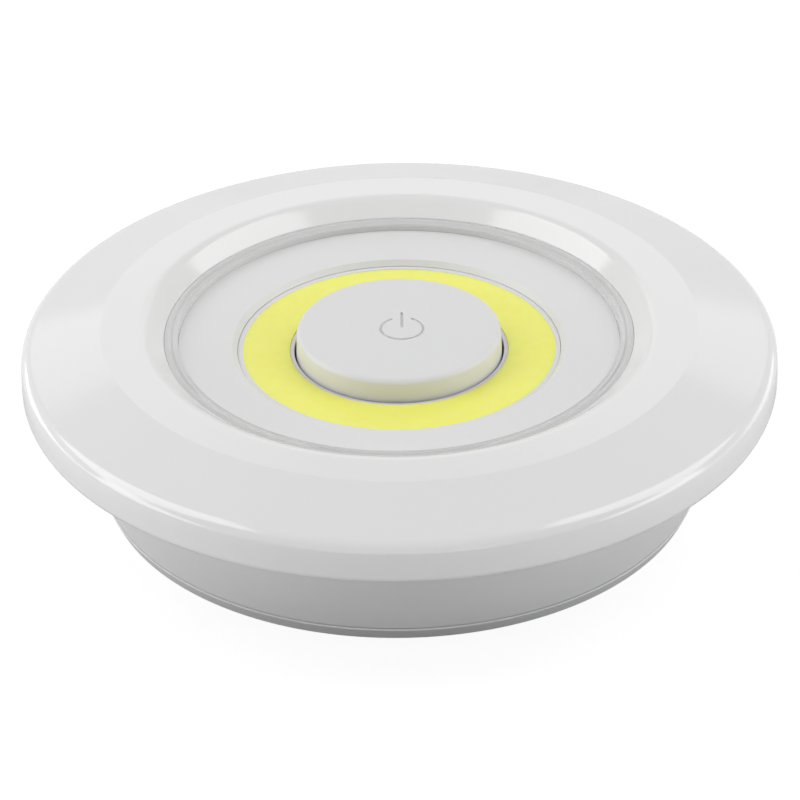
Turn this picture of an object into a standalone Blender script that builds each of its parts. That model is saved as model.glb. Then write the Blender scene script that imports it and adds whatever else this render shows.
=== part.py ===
"""Battery puck light with a ring of light round a central push button.

The light lies on its back with its lit face up. Lengths are in metres and +Z is up.
The origin is the centre of the back face, so every height is measured from there.
A domed bezel screws down on a round cup, a clear ring and a satin dish fill its mouth,
and a cover with a bayonet closes the battery bay in the back.
"""
import math

import bmesh
import bpy
from mathutils import Matrix, Vector

# Fits
SEAT_GAP = 0.0003
BUTTON_RUN_GAP = 0.00035
CUT_OVERRUN = 0.0010
MERGE_DISTANCE = 0.00001

# Mounting pad and back cover
PAD_RADIUS = 0.0300
PAD_THICKNESS = 0.0010
COVER_PLATE = 0.0014
BAND_HEIGHT = 0.0024
BAND_STEP = 0.0007
BAND_TAPER = 0.0011
BAND_TOP_ROUND = 0.0003
BAND_FOOT_ROUND = 0.0006
BAYONET_RING_GAP = 0.0019
BAYONET_RING_WALL = 0.0015
BAYONET_RING_HEIGHT = 0.0045
LUG_WIDTH = 0.0080
LUG_THICKNESS = 0.0013
COVER_LUG_REACH = 0.0013
CUP_LUG_CLEARANCE = 0.00035
LUG_STOP_WIDTH = 0.0012
LUG_COUNT = 3
GRIP_LENGTH = 0.0140
GRIP_WIDTH = 0.0045
GRIP_DEPTH = 0.0008

# Cells, their contacts and the bay round them
CELL_RADIUS = 0.00525
CELL_LENGTH = 0.0445
CELL_EDGE_ROUND = 0.0006
CELL_NUB_RADIUS = 0.0019
CELL_NUB_HEIGHT = 0.0010
CELL_SPACING_GAP = 0.0011
CELL_FLOOR_PLAY = 0.0008
CELL_COUNT = 3
CONTACT_THICKNESS = 0.0004
CONTACT_HEIGHT = 0.0090
CONTACT_WIDTH = 0.0088
TAB_WIDTH = 0.0028
TAB_RISE = 0.0016
SPRING_LENGTH = 0.0045
SPRING_WIRE_RADIUS = 0.00030
SPRING_BASE_RADIUS = 0.0034
SPRING_TIP_RADIUS = 0.0021
SPRING_TURNS = 3
BAY_WALL = 0.0013
BAY_WALL_DEPTH = 0.0098
CELL_RIB_WALL = 0.0005
CELL_RIB_LENGTH = 0.0300
CELL_RIB_DEPTH = 0.0050

# Cup
CUP_WALL = 0.0016
CUP_DRAFT = 0.0005
PARTITION = 0.0016

# Screws that hold the cup to the bezel
SCREW_COUNT = 3
SCREW_SHANK_RADIUS = 0.00125
SCREW_HEAD_RADIUS = 0.0024
SCREW_HEAD_HEIGHT = 0.0016
SCREW_LENGTH = 0.0080
SCREW_SLOT_WIDTH = 0.0006
SCREW_SLOT_DEPTH = 0.0008
BOSS_RADIUS = 0.0030
BOSS_SKIRT_OVERLAP = 0.00045
BOSS_HOLE_SPARE = 0.0010

# Driver board and what is on it
BOARD_TAB_CLEARANCE = 0.00295
BOARD_WIDTH = 0.0260
BOARD_THICKNESS = 0.0012
BOARD_SCREW_RADIUS = 0.0009
BOARD_SCREW_HEAD_RADIUS = 0.0018
BOARD_SCREW_HEAD_HEIGHT = 0.0012
BOARD_SCREW_BITE = 0.0010
BOARD_EDGE_INSET = 0.0032
CHIP_LENGTH = 0.0050
CHIP_WIDTH = 0.0040
CHIP_HEIGHT = 0.0015
CHIP_OFFSET = 0.0100
RESISTOR_LENGTH = 0.0032
RESISTOR_WIDTH = 0.0016
RESISTOR_HEIGHT = 0.0006
RESISTOR_OFFSET = 0.0105
RESISTOR_SPACING = 0.0034
CAPACITOR_RADIUS = 0.0020
CAPACITOR_HEIGHT = 0.0054
CAPACITOR_OFFSET = 0.0095
SWITCH_SIDE = 0.0060
SWITCH_HEIGHT = 0.0036
SWITCH_FLOOR = 0.0007
PLUNGER_RADIUS = 0.0016
PLUNGER_LENGTH = 0.0026

# Button and its return spring
BUTTON_RADIUS = 0.01715
BUTTON_DRAFT = 0.0003
BUTTON_EDGE_ROUND = 0.0005
BUTTON_PROUD = 0.00375
BUTTON_WALL = 0.0016
BUTTON_TRAVEL = 0.0012
BUTTON_FLANGE_WIDTH = 0.00105
BUTTON_FLANGE_THICKNESS = 0.0012
BUTTON_FLOOR_CLEARANCE = 0.0004
POST_RADIUS = 0.0024
RETURN_COIL_RADIUS = 0.0056
RETURN_WIRE_RADIUS = 0.0004
RETURN_TURNS = 5
SYMBOL_RADIUS = 0.0036
SYMBOL_STROKE = 0.0004
SYMBOL_DEPTH = 0.00025
SYMBOL_BAR_LENGTH = 0.0048
SYMBOL_BAR_TOP = 0.0050

# Ring of light and its carrier
DAM_WIDTH = 0.0005
DAM_PROUD = 0.00015
GLOW_WIDTH = 0.00735
GLOW_THICKNESS = 0.0009
LED_BOARD_THICKNESS = 0.0012
LED_BOARD_MARGIN = 0.00405
CARRIER_PLATE = 0.0015
CARRIER_WALL = 0.0015

# Dish and clear ring
DISH_CONE_RUN = 0.0009
DISH_CONE_HEIGHT = 0.00075
DISH_EDGE_RISE = 0.0010
DISH_WIDTH = 0.0085
DISH_RISE = 0.0007
DISH_THICKNESS = 0.0010
DISH_FOOT_HEIGHT = 0.00085
DISH_SKIRT_WALL = 0.0015
LENS_WIDTH = 0.00205
LENS_WALL_ABOVE_DISH = 0.00095
LENS_STEP = 0.00012
LENS_FLANGE_WIDTH = 0.0020
LENS_FLANGE_THICKNESS = 0.00135

# Bezel
HOLE_RISE = 0.0029
HOLE_LIP_HEIGHT = 0.00135
CONE_RUN = 0.0034
CONE_RISE = 0.00244
SHOULDER_ROUND = 0.0023
FLAT_RUN = 0.0070
FLAT_DROP = 0.00032
SLOPE_RUN = 0.01285
SLOPE_DROP = 0.0038
RIM_TOP_ROUND = 0.0009
RIM_SWELL = 0.00045
RIM_HEIGHT = 0.0071
RIM_FOOT_ROUND = 0.0015
RIM_WALL = 0.0018
BEZEL_WALL = 0.0019
SEAT_OVERHANG = 0.0006
LIP_WIDTH = 0.0027
LIP_RAMP = 0.0017
SKIRT_WALL = 0.0012
SKIRT_DEPTH = 0.0033

# Leads
LEAD_RADIUS = 0.00035
LEAD_HOLE_SPARE = 0.0006
LED_LEAD_SPACING = 0.0040
LED_LEAD_STANDOFF = 0.0014
LED_PAD_INSET = 0.0014

# Facets and angles
BIG_STEPS = 60
MIDDLE_STEPS = 48
SMALL_STEPS = 20
SCREW_STEPS = 16
SCREW_HOLE_STEPS = 12
LEAD_HOLE_STEPS = 10
ROUND_SEGMENTS = 3
COIL_RESOLUTION = 1
LEAD_RESOLUTION = 2
COIL_POINTS_PER_TURN = 9
LEAD_POINTS_PER_SPAN = 4
SYMBOL_SEGMENTS = 20
SYMBOL_GAP_ANGLE = math.radians(30)
SHARP_ANGLE = math.radians(32)
FIRST_BOSS_ANGLE = math.radians(90)
FIRST_LUG_ANGLE = math.radians(30)

# Heights, stacked from the back face to the top of the bezel
pad_recess_z = PAD_THICKNESS + SEAT_GAP
cover_inner_z = pad_recess_z + COVER_PLATE
cell_axis_z = cover_inner_z + CELL_FLOOR_PLAY + CELL_RADIUS
partition_z = cell_axis_z + CELL_RADIUS + SEAT_GAP
partition_top_z = partition_z + PARTITION
board_z = partition_top_z + SEAT_GAP
board_top_z = board_z + BOARD_THICKNESS
mounted_z = board_top_z + SEAT_GAP
button_foot_z = board_top_z + BUTTON_FLOOR_CLEARANCE + BUTTON_TRAVEL
button_flange_top_z = button_foot_z + BUTTON_FLANGE_THICKNESS
carrier_z = button_flange_top_z + SEAT_GAP
carrier_top_z = carrier_z + CARRIER_PLATE
led_board_z = carrier_top_z + SEAT_GAP
led_board_top_z = led_board_z + LED_BOARD_THICKNESS
glow_foot_z = led_board_top_z + SEAT_GAP
glow_z = glow_foot_z + GLOW_THICKNESS
dish_edge_z = glow_z + DISH_EDGE_RISE
dish_rim_z = dish_edge_z + DISH_RISE
button_top_z = glow_z + BUTTON_PROUD
button_ceiling_z = button_top_z - BUTTON_WALL
hole_z = glow_z + HOLE_RISE
hole_lip_z = hole_z - HOLE_LIP_HEIGHT
bezel_top_z = hole_z + CONE_RISE
crease_z = bezel_top_z - FLAT_DROP
rim_top_z = crease_z - SLOPE_DROP
rim_foot_z = rim_top_z - RIM_HEIGHT
lens_flange_top_z = hole_lip_z - SEAT_GAP
lens_foot_z = lens_flange_top_z - LENS_FLANGE_THICKNESS
lens_top_z = dish_rim_z + LENS_WALL_ABOVE_DISH
carrier_rim_z = lens_foot_z - SEAT_GAP

# Radii, stacked from the button to the rim
button_hole_radius = BUTTON_RADIUS + BUTTON_RUN_GAP
glow_inner_radius = button_hole_radius + DAM_WIDTH + SEAT_GAP
glow_outer_radius = glow_inner_radius + GLOW_WIDTH
outer_dam_radius = glow_outer_radius + SEAT_GAP + DAM_WIDTH
led_board_radius = outer_dam_radius + LED_BOARD_MARGIN
dish_foot_radius = outer_dam_radius + SEAT_GAP
dish_edge_radius = dish_foot_radius + DISH_CONE_RUN
dish_radius = dish_edge_radius + DISH_WIDTH
lens_inner_radius = dish_radius + SEAT_GAP
lens_radius = lens_inner_radius + LENS_WIDTH
lens_flange_radius = lens_radius + LENS_FLANGE_WIDTH
hole_radius = lens_radius + SEAT_GAP
shoulder_radius = hole_radius + CONE_RUN
crease_radius = shoulder_radius + FLAT_RUN
rim_corner_radius = crease_radius + SLOPE_RUN
rim_radius = rim_corner_radius + RIM_SWELL
boss_circle_radius = lens_flange_radius + SEAT_GAP + BOSS_RADIUS
skirt_inner_radius = boss_circle_radius + BOSS_RADIUS - BOSS_SKIRT_OVERLAP
skirt_radius = skirt_inner_radius + SKIRT_WALL
cup_inner_radius = skirt_radius + SEAT_GAP
cup_foot_radius = cup_inner_radius + CUP_WALL
cup_radius = cup_foot_radius + CUP_DRAFT
band_radius = cup_foot_radius + BAND_STEP
bayonet_ring_radius = cup_inner_radius - BAYONET_RING_GAP
seat_radius = cup_radius + SEAT_OVERHANG

# Places across the battery bay
cell_pitch = 2 * CELL_RADIUS + CELL_SPACING_GAP
bay_half_length = (CELL_LENGTH + SPRING_LENGTH + 3 * SEAT_GAP) / 2
contact_back_x = bay_half_length + CONTACT_THICKNESS
bay_wall_x = contact_back_x + SEAT_GAP
board_length = 2 * (bay_half_length - BOARD_TAB_CLEARANCE)
bay_half_width = cell_pitch * (CELL_COUNT - 1) / 2 + CELL_RADIUS + SEAT_GAP


def slope_height(radius):
    """Height of the bezel's sloping top at a radius outside its crease."""
    return crease_z - (radius - crease_radius) * SLOPE_DROP / SLOPE_RUN


seat_z = slope_height(seat_radius) - BEZEL_WALL
cup_top_z = seat_z - SEAT_GAP

parts = None
tools = None


def clear_scene():
    """Remove what the scene holds and make the two collections."""
    global parts, tools
    for old in list(bpy.data.objects):
        bpy.data.objects.remove(old, do_unlink=True)
    parts = bpy.data.collections.new("puck_light")
    tools = bpy.data.collections.new("puck_light_tools")
    bpy.context.scene.collection.children.link(parts)
    bpy.context.scene.collection.children.link(tools)


# Finishes

def finish(name, colour, roughness, metallic=0.0, transmission=0.0):
    """One Principled material, made once and shared by name."""
    material = bpy.data.materials.get(name)
    if material is None:
        material = bpy.data.materials.new(name)
        material.use_nodes = True
        shader = material.node_tree.nodes["Principled BSDF"]
        shader.inputs["Base Color"].default_value = (*colour, 1.0)
        shader.inputs["Roughness"].default_value = roughness
        shader.inputs["Metallic"].default_value = metallic
        shader.inputs["Transmission Weight"].default_value = transmission
        material.diffuse_color = (*colour, 1.0)
        material.roughness = roughness
        material.metallic = metallic
    return material


def gloss_white():
    return finish("gloss_white", (0.84, 0.84, 0.85), 0.16)


def satin_grey_white():
    return finish("satin_grey_white", (0.74, 0.74, 0.74), 0.42)


def clear_plastic():
    return finish("clear_plastic", (0.90, 0.91, 0.92), 0.08, transmission=0.9)


def phosphor_yellow():
    return finish("phosphor_yellow", (0.90, 0.86, 0.16), 0.55)


def white_silicone():
    return finish("white_silicone", (0.80, 0.80, 0.78), 0.50)


def white_mask():
    return finish("white_mask", (0.82, 0.82, 0.80), 0.35, metallic=0.2)


def inner_white():
    return finish("inner_white", (0.78, 0.78, 0.77), 0.45)


def board_green():
    return finish("board_green", (0.04, 0.22, 0.09), 0.40)


def black_moulding():
    return finish("black_moulding", (0.03, 0.03, 0.03), 0.45)


def nickel_steel():
    return finish("nickel_steel", (0.70, 0.69, 0.66), 0.28, metallic=1.0)


def cell_jacket():
    return finish("cell_jacket", (0.16, 0.19, 0.24), 0.32, metallic=0.3)


def capacitor_can():
    return finish("capacitor_can", (0.72, 0.72, 0.74), 0.30, metallic=0.9)


def red_insulation():
    return finish("red_insulation", (0.60, 0.03, 0.02), 0.45)


def black_insulation():
    return finish("black_insulation", (0.02, 0.02, 0.02), 0.45)


def foam_tape():
    return finish("foam_tape", (0.86, 0.86, 0.84), 0.90)


# Modelling helpers

def place(piece, material, home):
    """Put a piece in its collection and dress it, or make it a hidden tool."""
    home.objects.link(piece)
    if home is tools:
        piece.hide_render = True
        piece.display_type = "WIRE"
    if material is not None:
        piece.data.materials.append(material)
    return piece


def fillet(before, corner, after, radius, segments=ROUND_SEGMENTS):
    """Points of an arc that rounds one corner of an outline in radius and height."""
    point = Vector(corner)
    back = (Vector(before) - point).normalized()
    ahead = (Vector(after) - point).normalized()
    half = back.angle(ahead) / 2
    reach = radius / math.tan(half)
    centre = point + (back + ahead).normalized() * (radius / math.sin(half))
    start = point + back * reach - centre
    sweep = start.angle_signed(point + ahead * reach - centre)
    arc = []
    for index in range(segments + 1):
        turn = Matrix.Rotation(-sweep * index / segments, 2)
        arc.append(tuple(centre + turn @ start))
    return arc


def turned(name, outline, steps, material, closed, home=None):
    """Turn an outline of radius and height pairs once round the Z axis."""
    mesh = bpy.data.meshes.new(name)
    points = [(radius, 0.0, height) for radius, height in outline]
    edges = [(index, index + 1) for index in range(len(points) - 1)]
    if closed:
        edges.append((len(points) - 1, 0))
    mesh.from_pydata(points, edges, [])
    piece = bpy.data.objects.new(name, mesh)
    place(piece, material, home or parts)
    screw = piece.modifiers.new("turn", "SCREW")
    screw.axis = "Z"
    screw.angle = math.tau
    screw.steps = steps
    screw.render_steps = steps
    screw.use_merge_vertices = True
    screw.merge_threshold = MERGE_DISTANCE
    return piece


def block(name, size, centre, material=None, home=None):
    """Box of the given size about a centre."""
    mesh = bpy.data.meshes.new(name)
    shape = bmesh.new()
    bmesh.ops.create_cube(shape, size=1.0, matrix=Matrix.Diagonal((*size, 1.0)))
    shape.to_mesh(mesh)
    shape.free()
    piece = bpy.data.objects.new(name, mesh)
    place(piece, material, home or tools)
    piece.location = centre
    return piece


def rod(name, radius, depth, centre, steps=SMALL_STEPS, material=None, home=None):
    """Upright cylinder about a centre."""
    mesh = bpy.data.meshes.new(name)
    shape = bmesh.new()
    bmesh.ops.create_cone(
        shape, cap_ends=True, segments=steps, radius1=radius, radius2=radius, depth=depth)
    shape.to_mesh(mesh)
    shape.free()
    piece = bpy.data.objects.new(name, mesh)
    place(piece, material, home or tools)
    piece.location = centre
    return piece


def combine(piece, tool, operation):
    """Cut a tool from a piece, or join it on."""
    change = piece.modifiers.new(tool.name, "BOOLEAN")
    change.operation = operation
    change.solver = "EXACT"
    change.object = tool


def cut(piece, *cutters):
    for cutter in cutters:
        combine(piece, cutter, "DIFFERENCE")


def join(piece, *additions):
    for addition in additions:
        combine(piece, addition, "UNION")


def settle(piece):
    """Keep the evaluated shape as the piece's mesh, smooth but for its sharp edges."""
    bpy.context.view_layer.update()
    shown = piece.evaluated_get(bpy.context.evaluated_depsgraph_get())
    mesh = bpy.data.meshes.new_from_object(shown)
    mesh.name = piece.name
    piece.modifiers.clear()
    piece.data = mesh
    mesh.shade_smooth()
    mesh.set_sharp_from_angle(angle=SHARP_ANGLE)
    return piece


def outline_curve(name, rings, thickness):
    """Flat curve filled inside its closed outlines and thickened about its plane."""
    curve = bpy.data.curves.new(name, "CURVE")
    curve.dimensions = "2D"
    curve.fill_mode = "BOTH"
    curve.extrude = thickness / 2
    for ring in rings:
        spline = curve.splines.new("POLY")
        spline.points.add(len(ring) - 1)
        for point, (across, along) in zip(spline.points, ring):
            point.co = (across, along, 0.0, 1.0)
        spline.use_cyclic_u = True
    return bpy.data.objects.new(name, curve)


def as_mesh(flat, material, home):
    """Turn a curve object into a closed mesh object at the same place."""
    bpy.context.scene.collection.objects.link(flat)
    bpy.context.view_layer.update()
    shown = flat.evaluated_get(bpy.context.evaluated_depsgraph_get())
    mesh = bpy.data.meshes.new_from_object(shown)
    shape = bmesh.new()
    shape.from_mesh(mesh)
    bmesh.ops.remove_doubles(shape, verts=shape.verts, dist=MERGE_DISTANCE)
    bmesh.ops.recalc_face_normals(shape, faces=shape.faces)
    shape.to_mesh(mesh)
    shape.free()
    name = flat.name
    seat = flat.matrix_world.copy()
    bpy.data.objects.remove(flat, do_unlink=True)
    piece = bpy.data.objects.new(name, mesh)
    place(piece, material, home)
    piece.matrix_world = seat
    return piece


def wire(name, points, radius, resolution, material):
    """Round wire or insulated lead along a line of points, with closed ends."""
    curve = bpy.data.curves.new(name, "CURVE")
    curve.dimensions = "3D"
    curve.bevel_depth = radius
    curve.bevel_resolution = resolution
    curve.use_fill_caps = True
    spline = curve.splines.new("POLY")
    spline.points.add(len(points) - 1)
    for knot, point in zip(spline.points, points):
        knot.co = (*point, 1.0)
    spline.use_smooth = True
    return place(bpy.data.objects.new(name, curve), material, parts)


def smooth_route(knots):
    """Points on a smooth curve through the knots of a route."""
    line = [Vector(knot) for knot in knots]
    line = [2 * line[0] - line[1]] + line + [2 * line[-1] - line[-2]]
    points = []
    for index in range(1, len(line) - 2):
        before, start, end, after = line[index - 1:index + 3]
        for step in range(LEAD_POINTS_PER_SPAN):
            share = step / LEAD_POINTS_PER_SPAN
            bend = (end - before) * share
            bend += (2 * before - 5 * start + 4 * end - after) * share ** 2
            bend += (3 * start - before - 3 * end + after) * share ** 3
            points.append(start + bend / 2)
    points.append(line[-2])
    return points


def coil(turns, start_radius, end_radius, length):
    """Points of a helix that climbs +Z and changes its radius evenly."""
    count = turns * COIL_POINTS_PER_TURN
    points = []
    for index in range(count + 1):
        share = index / count
        angle = math.tau * turns * share
        radius = start_radius + (end_radius - start_radius) * share
        points.append((radius * math.cos(angle), radius * math.sin(angle), length * share))
    return points


def around(radius, angle, height):
    """Point at a radius, angle and height about the Z axis."""
    return (radius * math.cos(angle), radius * math.sin(angle), height)


def boss_angles():
    return [FIRST_BOSS_ANGLE + math.tau * index / SCREW_COUNT for index in range(SCREW_COUNT)]


def lug_angles():
    return [FIRST_LUG_ANGLE + math.tau * index / LUG_COUNT for index in range(LUG_COUNT)]


# Bezel, clear ring and dish

def rim_points():
    """Outer side of the rim, from its rounded top corner down to its rounded foot."""
    swell_drop = RIM_HEIGHT - RIM_FOOT_ROUND
    corner = (rim_corner_radius, rim_top_z)
    bulge = []
    for index in range(1, ROUND_SEGMENTS + 1):
        share = index / ROUND_SEGMENTS
        swell = RIM_SWELL * (1 - (1 - share) ** 2)
        bulge.append((rim_corner_radius + swell, rim_top_z - swell_drop * share))
    foot = (rim_radius, rim_foot_z)
    inner_foot = (rim_radius - RIM_WALL, rim_foot_z)
    top = fillet((crease_radius, crease_z), corner, bulge[0], RIM_TOP_ROUND)
    return top + bulge[:-1] + fillet(bulge[-2], foot, inner_foot, RIM_FOOT_ROUND)


def bezel_outline():
    """Closed section of the bezel: top face, rim, hollow underside, skirt and lip."""
    rim_inner_radius = rim_radius - RIM_WALL
    inner_corner = (rim_inner_radius, slope_height(rim_inner_radius) - BEZEL_WALL)
    flange_root = (seat_radius, seat_z)
    skirt_foot_z = seat_z - SKIRT_DEPTH
    lip_radius = hole_radius + LIP_WIDTH
    hole_edge = (hole_radius, hole_z)
    crease = (crease_radius, crease_z)
    outline = [hole_edge]
    outline += fillet(hole_edge, (shoulder_radius, bezel_top_z), crease, SHOULDER_ROUND)
    outline += [crease]
    outline += rim_points()
    outline += [(rim_inner_radius, rim_foot_z)]
    outline += fillet((rim_inner_radius, rim_foot_z), inner_corner, flange_root, BEZEL_WALL / 2)
    outline += [
        flange_root,
        (skirt_radius, seat_z),
        (skirt_radius, skirt_foot_z),
        (skirt_inner_radius, skirt_foot_z),
        (skirt_inner_radius, seat_z),
        (lip_radius + LIP_RAMP, seat_z),
        (lip_radius, hole_lip_z),
        (hole_radius, hole_lip_z),
    ]
    return outline


def make_bezel():
    bezel = turned("bezel", bezel_outline(), BIG_STEPS, gloss_white(), closed=True)
    boss_foot_z = partition_top_z + SEAT_GAP
    boss_top_z = (seat_z + crease_z) / 2
    hole_top_z = partition_z - SEAT_GAP + SCREW_LENGTH + BOSS_HOLE_SPARE
    for index, angle in enumerate(boss_angles(), start=1):
        middle = around(boss_circle_radius, angle, (boss_foot_z + boss_top_z) / 2)
        join(bezel, rod(f"boss_{index}", BOSS_RADIUS, boss_top_z - boss_foot_z, middle))
        depth = hole_top_z - boss_foot_z + CUT_OVERRUN
        middle = around(boss_circle_radius, angle, hole_top_z - depth / 2)
        cut(bezel, rod(f"boss_hole_{index}", SCREW_SHANK_RADIUS + SEAT_GAP, depth, middle,
                       SCREW_HOLE_STEPS))
    return settle(bezel)


def make_lens_ring():
    """Clear ring with fine steps in its top face and a flange under the bezel's lip."""
    tread = LENS_WIDTH / 3
    outline = [
        (lens_inner_radius, lens_top_z),
        (lens_inner_radius + tread, lens_top_z + LENS_STEP),
        (lens_inner_radius + tread, lens_top_z),
        (lens_inner_radius + 2 * tread, lens_top_z + LENS_STEP),
        (lens_inner_radius + 2 * tread, lens_top_z + 2 * LENS_STEP),
        (lens_radius, lens_top_z + 2 * LENS_STEP),
        (lens_radius, lens_flange_top_z),
        (lens_flange_radius, lens_flange_top_z),
        (lens_flange_radius, lens_foot_z),
        (lens_inner_radius, lens_foot_z),
    ]
    return settle(turned("lens_ring", outline, MIDDLE_STEPS, clear_plastic(), closed=True))


def make_reflector_dish():
    """Satin dish that rises outwards from its conical opening to a deep outer skirt."""
    foot_z = led_board_top_z + SEAT_GAP + LEAD_RADIUS
    skirt_inner = dish_radius - DISH_SKIRT_WALL
    outline = [
        (dish_foot_radius, dish_edge_z - DISH_CONE_HEIGHT),
        (dish_edge_radius, dish_edge_z),
        (dish_edge_radius + DISH_WIDTH / 2, dish_edge_z + DISH_RISE / 3),
        (dish_radius, dish_rim_z),
        (dish_radius, carrier_top_z + SEAT_GAP),
        (skirt_inner, carrier_top_z + SEAT_GAP),
        (skirt_inner, dish_rim_z - DISH_THICKNESS - DISH_RISE / 3),
        (dish_edge_radius + DISH_FOOT_HEIGHT, dish_edge_z - DISH_THICKNESS),
        (dish_edge_radius, foot_z),
        (dish_foot_radius, foot_z),
    ]
    return settle(turned("reflector_dish", outline, MIDDLE_STEPS, satin_grey_white(), closed=True))


# Ring of light

def flat_ring(name, inner, outer, foot_z, top_z, steps, material):
    """Plain ring of rectangular section."""
    outline = [(inner, top_z), (outer, top_z), (outer, foot_z), (inner, foot_z)]
    return settle(turned(name, outline, steps, material, closed=True))


def make_phosphor_ring():
    """Cast yellow ring with softly rounded upper edges."""
    soft = GLOW_THICKNESS / 3
    outline = [
        (glow_inner_radius, glow_z - soft),
        (glow_inner_radius + soft, glow_z),
        (glow_outer_radius - soft, glow_z),
        (glow_outer_radius, glow_z - soft),
        (glow_outer_radius, glow_foot_z),
        (glow_inner_radius, glow_foot_z),
    ]
    return settle(turned("phosphor_ring", outline, MIDDLE_STEPS, phosphor_yellow(), closed=True))


def make_inner_dam():
    return flat_ring("inner_dam", button_hole_radius, button_hole_radius + DAM_WIDTH,
                     glow_foot_z, glow_z + DAM_PROUD, MIDDLE_STEPS, white_silicone())


def make_outer_dam():
    return flat_ring("outer_dam", outer_dam_radius - DAM_WIDTH, outer_dam_radius,
                     glow_foot_z, glow_z + DAM_PROUD, MIDDLE_STEPS, white_silicone())


def make_led_board():
    return flat_ring("led_board", button_hole_radius, led_board_radius,
                     led_board_z, led_board_top_z, MIDDLE_STEPS, white_mask())


def lead_hole_radius_at():
    """Distance of the lead holes from the axis, just outside the LED board."""
    return led_board_radius + LED_LEAD_STANDOFF


def make_led_carrier():
    """White frame that carries the LED board and stands on the cup's partition."""
    inner_wall = lens_flange_radius - CARRIER_WALL
    foot_z = partition_top_z + SEAT_GAP
    outline = [
        (button_hole_radius, carrier_top_z),
        (inner_wall, carrier_top_z),
        (inner_wall, carrier_rim_z),
        (lens_flange_radius, carrier_rim_z),
        (lens_flange_radius, foot_z),
        (inner_wall, foot_z),
        (inner_wall, carrier_z),
        (button_hole_radius, carrier_z),
    ]
    carrier = turned("led_carrier", outline, MIDDLE_STEPS, inner_white(), closed=True)
    depth = CARRIER_PLATE + 2 * CUT_OVERRUN
    for index, side in enumerate((-1, 1), start=1):
        middle = (lead_hole_radius_at(), side * LED_LEAD_SPACING / 2, (carrier_z + carrier_top_z) / 2)
        cut(carrier, rod(f"lead_hole_{index}", LEAD_RADIUS + LEAD_HOLE_SPARE, depth, middle,
                         LEAD_HOLE_STEPS))
    return settle(carrier)


# Button

def symbol_rings():
    """Outlines of the power mark: a bar that stands in the gap of an open circle."""
    outer = []
    inner = []
    for index in range(SYMBOL_SEGMENTS + 1):
        share = index / SYMBOL_SEGMENTS
        angle = math.pi / 2 + SYMBOL_GAP_ANGLE + (math.tau - 2 * SYMBOL_GAP_ANGLE) * share
        outer.append((SYMBOL_RADIUS * math.cos(angle), SYMBOL_RADIUS * math.sin(angle)))
        small = SYMBOL_RADIUS - SYMBOL_STROKE
        inner.append((small * math.cos(angle), small * math.sin(angle)))
    half = SYMBOL_STROKE / 2
    bar_foot = SYMBOL_BAR_TOP - SYMBOL_BAR_LENGTH
    bar = [(-half, bar_foot), (half, bar_foot), (half, SYMBOL_BAR_TOP), (-half, SYMBOL_BAR_TOP)]
    return [outer + inner[::-1], bar]


def make_button_cap():
    """Hollow cap with a retaining flange at its foot and a post over the switch."""
    inner_radius = BUTTON_RADIUS - BUTTON_WALL
    top_radius = BUTTON_RADIUS - BUTTON_DRAFT
    flange_radius = BUTTON_RADIUS + BUTTON_FLANGE_WIDTH
    post_foot_z = plunger_top_z() + SEAT_GAP
    edge = fillet(
        (0.0, button_top_z), (top_radius, button_top_z), (BUTTON_RADIUS, button_flange_top_z),
        BUTTON_EDGE_ROUND)
    outline = [(0.0, button_top_z)]
    outline += edge
    outline += [
        (BUTTON_RADIUS, button_flange_top_z),
        (flange_radius, button_flange_top_z),
        (flange_radius, button_foot_z),
        (inner_radius, button_foot_z),
        (inner_radius - BUTTON_DRAFT, button_ceiling_z),
        (POST_RADIUS, button_ceiling_z),
        (POST_RADIUS, post_foot_z),
        (0.0, post_foot_z),
    ]
    cap = turned("button_cap", outline, MIDDLE_STEPS, satin_grey_white(), closed=False)
    mark = outline_curve("power_mark", symbol_rings(), 2 * SYMBOL_DEPTH)
    mark.location = (0.0, 0.0, button_top_z)
    cut(cap, as_mesh(mark, None, tools))
    return settle(cap)


def switch_top_z():
    return mounted_z + SWITCH_HEIGHT


def plunger_top_z():
    """Top of the switch's plunger, which stands out by the travel and a little more."""
    return switch_top_z() + BUTTON_TRAVEL + SEAT_GAP / 2


def make_switch_body():
    middle = (0.0, 0.0, mounted_z + SWITCH_HEIGHT / 2)
    body = block("switch_body", (SWITCH_SIDE, SWITCH_SIDE, SWITCH_HEIGHT), middle, black_moulding(), parts)
    well_depth = SWITCH_HEIGHT - SWITCH_FLOOR + CUT_OVERRUN
    well_z = switch_top_z() + CUT_OVERRUN - well_depth / 2
    cut(body, rod("switch_well", PLUNGER_RADIUS + SEAT_GAP, well_depth, (0.0, 0.0, well_z)))
    return settle(body)


def make_switch_plunger():
    middle = (0.0, 0.0, plunger_top_z() - PLUNGER_LENGTH / 2)
    return settle(rod("switch_plunger", PLUNGER_RADIUS, PLUNGER_LENGTH, middle,
                      material=inner_white(), home=parts))


def make_return_spring():
    """Coil spring between the driver board and the ceiling of the button."""
    foot_z = mounted_z + RETURN_WIRE_RADIUS
    length = button_ceiling_z - SEAT_GAP - RETURN_WIRE_RADIUS - foot_z
    points = coil(RETURN_TURNS, RETURN_COIL_RADIUS, RETURN_COIL_RADIUS, length)
    spring = wire("return_spring", points, RETURN_WIRE_RADIUS, COIL_RESOLUTION, nickel_steel())
    spring.location = (0.0, 0.0, foot_z)
    return spring


# Driver board

def board_screw_places():
    """The two corners of the board that are screwed down."""
    across = board_length / 2 - BOARD_EDGE_INSET
    along = BOARD_WIDTH / 2 - BOARD_EDGE_INSET
    return [(-across, along), (across, -along)]


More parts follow.
